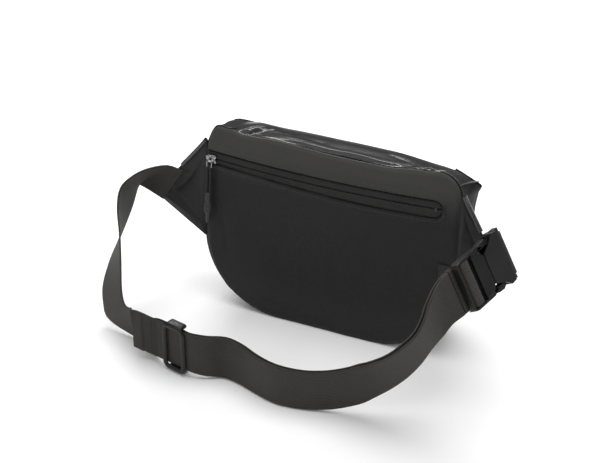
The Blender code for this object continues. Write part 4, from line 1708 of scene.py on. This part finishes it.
            finished(f"wing_{name}_edge_binding", slab(30, 16, bind, ((last - first).length, 9)), BINDING,
                     "pack", [f"wing_binding_{name}"], 70)
            lines = []
            for inset in (2.2, 4.4):
                a, b = Vector(tip) - way * inset, low_tip - way * inset
                spots = [mix(a, b, s) for s in (0.06, 0.5, 0.94)]
                for depth in (0.3, -self.wing_thick - 0.3):
                    lines.append([on_back(side * p.x, p.y, depth) for p in spots])
            Seam(2.6, 2.0, 0.32).sew(f"wing_{name}_tip_stitches", lines, "pack")

    def adjuster(self) -> None:
        """Make the flat adjuster: bowed bars outside the strap, a bar behind and thick end rails."""
        middles, edges = ([Vector(station[k]) for station in BELT] for k in range(2))
        frames = self.strap.frames(spline(middles, 3), spline(edges, 3))
        middle, _, outward = min(frames, key=lambda f: abs(f[0].x - self.adjuster_at[0]))
        along = Vector((0, 0, 1)).cross(outward).normalized() * -1.0
        matrix = Matrix((along, Vector((0, 0, 1)), outward)).transposed().to_4x4()
        matrix.translation = Vector((middle.x, middle.y, self.adjuster_at[1]))
        front, rear = self.layer + 1.65, -1.65
        corner, (wide, tall) = self.adjuster_corner, self.adjuster_half
        ring = []
        for x, z, start in ((1, 1, 0), (-1, 1, 90), (-1, -1, 180), (1, -1, 270)):
            ring += arc((x * (wide - corner), z * (tall - corner)), (corner, corner), start, start + 90, 6)
        ring_path = [Vector((a, b, front + 1.25 + 0.9 * (1 - (b / tall) ** 2))) for a, b in ring]
        parts = [tube(ring_path, 2.35, 12, True, flat=0.62)]
        parts.append(tube([Vector((0, -21.0 + 4.2 * i, rear - 1.1)) for i in range(11)], 2.8, 12, flat=0.42))
        for side in (-1, 1):
            low, high = sorted((side * 19.7, side * 23.6))
            parts.append(block((-8.6, low, rear - 1.5), (8.6, high, front + 1.8), 1.8, 3))
        finished("adjuster_frame", joined(parts), ACETAL, "adjuster", ["triglide"], 40, matrix)

    def tag(self) -> None:
        """Make the small blank tag sewn into the right seam."""
        def place(u: float, v: float, face: float) -> Vector:
            """Return a point of the tag.

            Args:
                u: Share of the way along.
                v: Share of the way up.
                face: 1 for the outer face and 0 for the inner.

            Returns:
                The point in the pack's millimetres.
            """
            x, z = mix(self.tag_low[0], self.tag_high[0], u), mix(self.tag_low[1], self.tag_high[1], v)
            curl = 0.5 * (1 - u) ** 2 + 0.25
            return on_back(x, z, curl + (1.0 if face else 0.2))

        finished("side_tag_blank", slab(10, 10, place, (9, 14)), TAG_TAPE, "pack", ["side_tag"], 50)

    def build(self) -> None:
        """Make every piece of the belt."""
        self.webbing()
        self.loops()
        self.wings()
        self.adjuster()
        self.tag()


# --- Studio ------------------------------------------------------------------------------------
@dataclass
class Studio:
    """Camera, white floor and soft lights."""

    camera_at: Triple = (0.4583, -1.0495, 0.7469)
    camera_turn: Triple = (60.0, 0.0, 25.0)
    lens: float = 88.7

    def camera(self) -> None:
        """Make the camera."""
        data = bpy.data.cameras.new("view")
        data.lens, data.sensor_width = self.lens, 36.0
        data.clip_start, data.clip_end = 0.01, 20.0
        camera = bpy.data.objects.new("view", data)
        camera.location = self.camera_at
        camera.rotation_euler = [math.radians(a) for a in self.camera_turn]
        bpy.context.scene.collection.objects.link(camera)
        bpy.context.scene.camera = camera

    def floor(self) -> None:
        """Make the floor."""
        made = bmesh.new()
        bmesh.ops.create_grid(made, x_segments=1, y_segments=1, size=6.0)
        mesh = bpy.data.meshes.new("studio_floor")
        made.to_mesh(mesh)
        made.free()
        material = bpy.data.materials.new("studio_floor_white_card")
        material.use_nodes = True
        shader = material.node_tree.nodes["Principled BSDF"]
        shader.inputs["Base Color"].default_value = linear("f7f7f7")
        shader.inputs["Roughness"].default_value = 0.9
        shader.inputs["Specular IOR Level"].default_value = 0.1
        mesh.materials.append(material)
        floor = bpy.data.objects.new("studio_floor", mesh)
        floor.location.z = -0.0004
        bpy.context.scene.collection.objects.link(floor)

    def light(self, name: str, at: Triple, aim: Triple, size: Pair, power: float) -> None:
        """Make one soft box.

        Args:
            name: Name of the light.
            at: Its place in metres.
            aim: Point that it faces.
            size: Width and height in metres.
            power: Watts.
        """
        data = bpy.data.lights.new(name, "AREA")
        data.shape = "RECTANGLE"
        data.size, data.size_y = size
        data.energy = power
        lamp = bpy.data.objects.new(name, data)
        lamp.location = at
        lamp.rotation_euler = (Vector(aim) - Vector(at)).to_track_quat("-Z", "Y").to_euler()
        bpy.context.scene.collection.objects.link(lamp)

    def build(self) -> None:
        """Make the camera, the floor, the lights and the surroundings."""
        self.camera()
        self.floor()
        self.light("overhead_softbox", (0.0, 0.1, 1.5), (0.0, 0.0, 0.0), (1.9, 1.5), 21.5)
        self.light("rear_strip", (-0.5, 1.1, 0.95), (0.0, 0.0, 0.15), (1.3, 0.12), 13.0)
        self.light("side_strip", (1.25, -0.1, 0.75), (0.1, 0.0, 0.1), (0.9, 0.08), 1.2)
        self.light("front_fill", (-0.7, -1.4, 0.9), (0.0, 0.0, 0.1), (1.0, 1.0), 5.0)
        world = bpy.data.worlds.new("surroundings")
        world.use_nodes = True
        # A bright room for the floor and a dim one in the gloss, as black cards round the set would give.
        path = add(world.node_tree, "ShaderNodeLightPath")
        shine = add(world.node_tree, "ShaderNodeMapRange", None, {"To Min": 0.36, "To Max": 0.18},
                    {"Value": path.outputs["Is Glossy Ray"]})
        level = add(world.node_tree, "ShaderNodeMapRange", None, {"To Max": 0.95},
                    {"Value": path.outputs["Is Camera Ray"], "To Min": shine.outputs["Result"]})
        background = world.node_tree.nodes["Background"]
        background.inputs["Color"].default_value = linear("ffffff")
        world.node_tree.links.new(level.outputs["Result"], background.inputs["Strength"])
        bpy.context.scene.world = world
        bpy.context.scene.view_settings.view_transform = "Standard"


def kept_nodes() -> None:
    """Give better materials to the CAD nodes that stay in sight."""
    kept = {"rear_zip_stop_left": ZIP_CHAIN, "rear_zip_stop_right": ZIP_CHAIN,
            "main_zip_stop_left": ZIP_CHAIN,
            "main_zip_stop_right": ZIP_CHAIN, "buckle_guide": ACETAL}
    for name, finish in kept.items():
        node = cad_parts[name]
        node.data.materials.clear()
        node.data.materials.append(finish.material())
        LOG.info("%s keeps its shape", name)


def main() -> None:
    """Build the studio and every piece."""
    logging.basicConfig(level=logging.INFO, format="%(name)s: %(message)s")
    Studio().build()
    BackPanel().build()
    Shell().build()
    Zip("rear_zip", on_back, -117.0, 103.0, 140.3, -0.5, -107.0, "pack", zip_bow, nudge=(-6.0, 2.2),
        reach=BackPanel().tape_reach).build()
    Zip("main_zip", on_front, -96.0, 96.0, 144.0, 1.9, 87.0, "front", half=5.9).build()
    buckle = Buckle()
    buckle.build()
    Belt(Strap(), buckle).build()
    kept_nodes()
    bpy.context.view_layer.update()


if __name__ == "__main__":
    main()
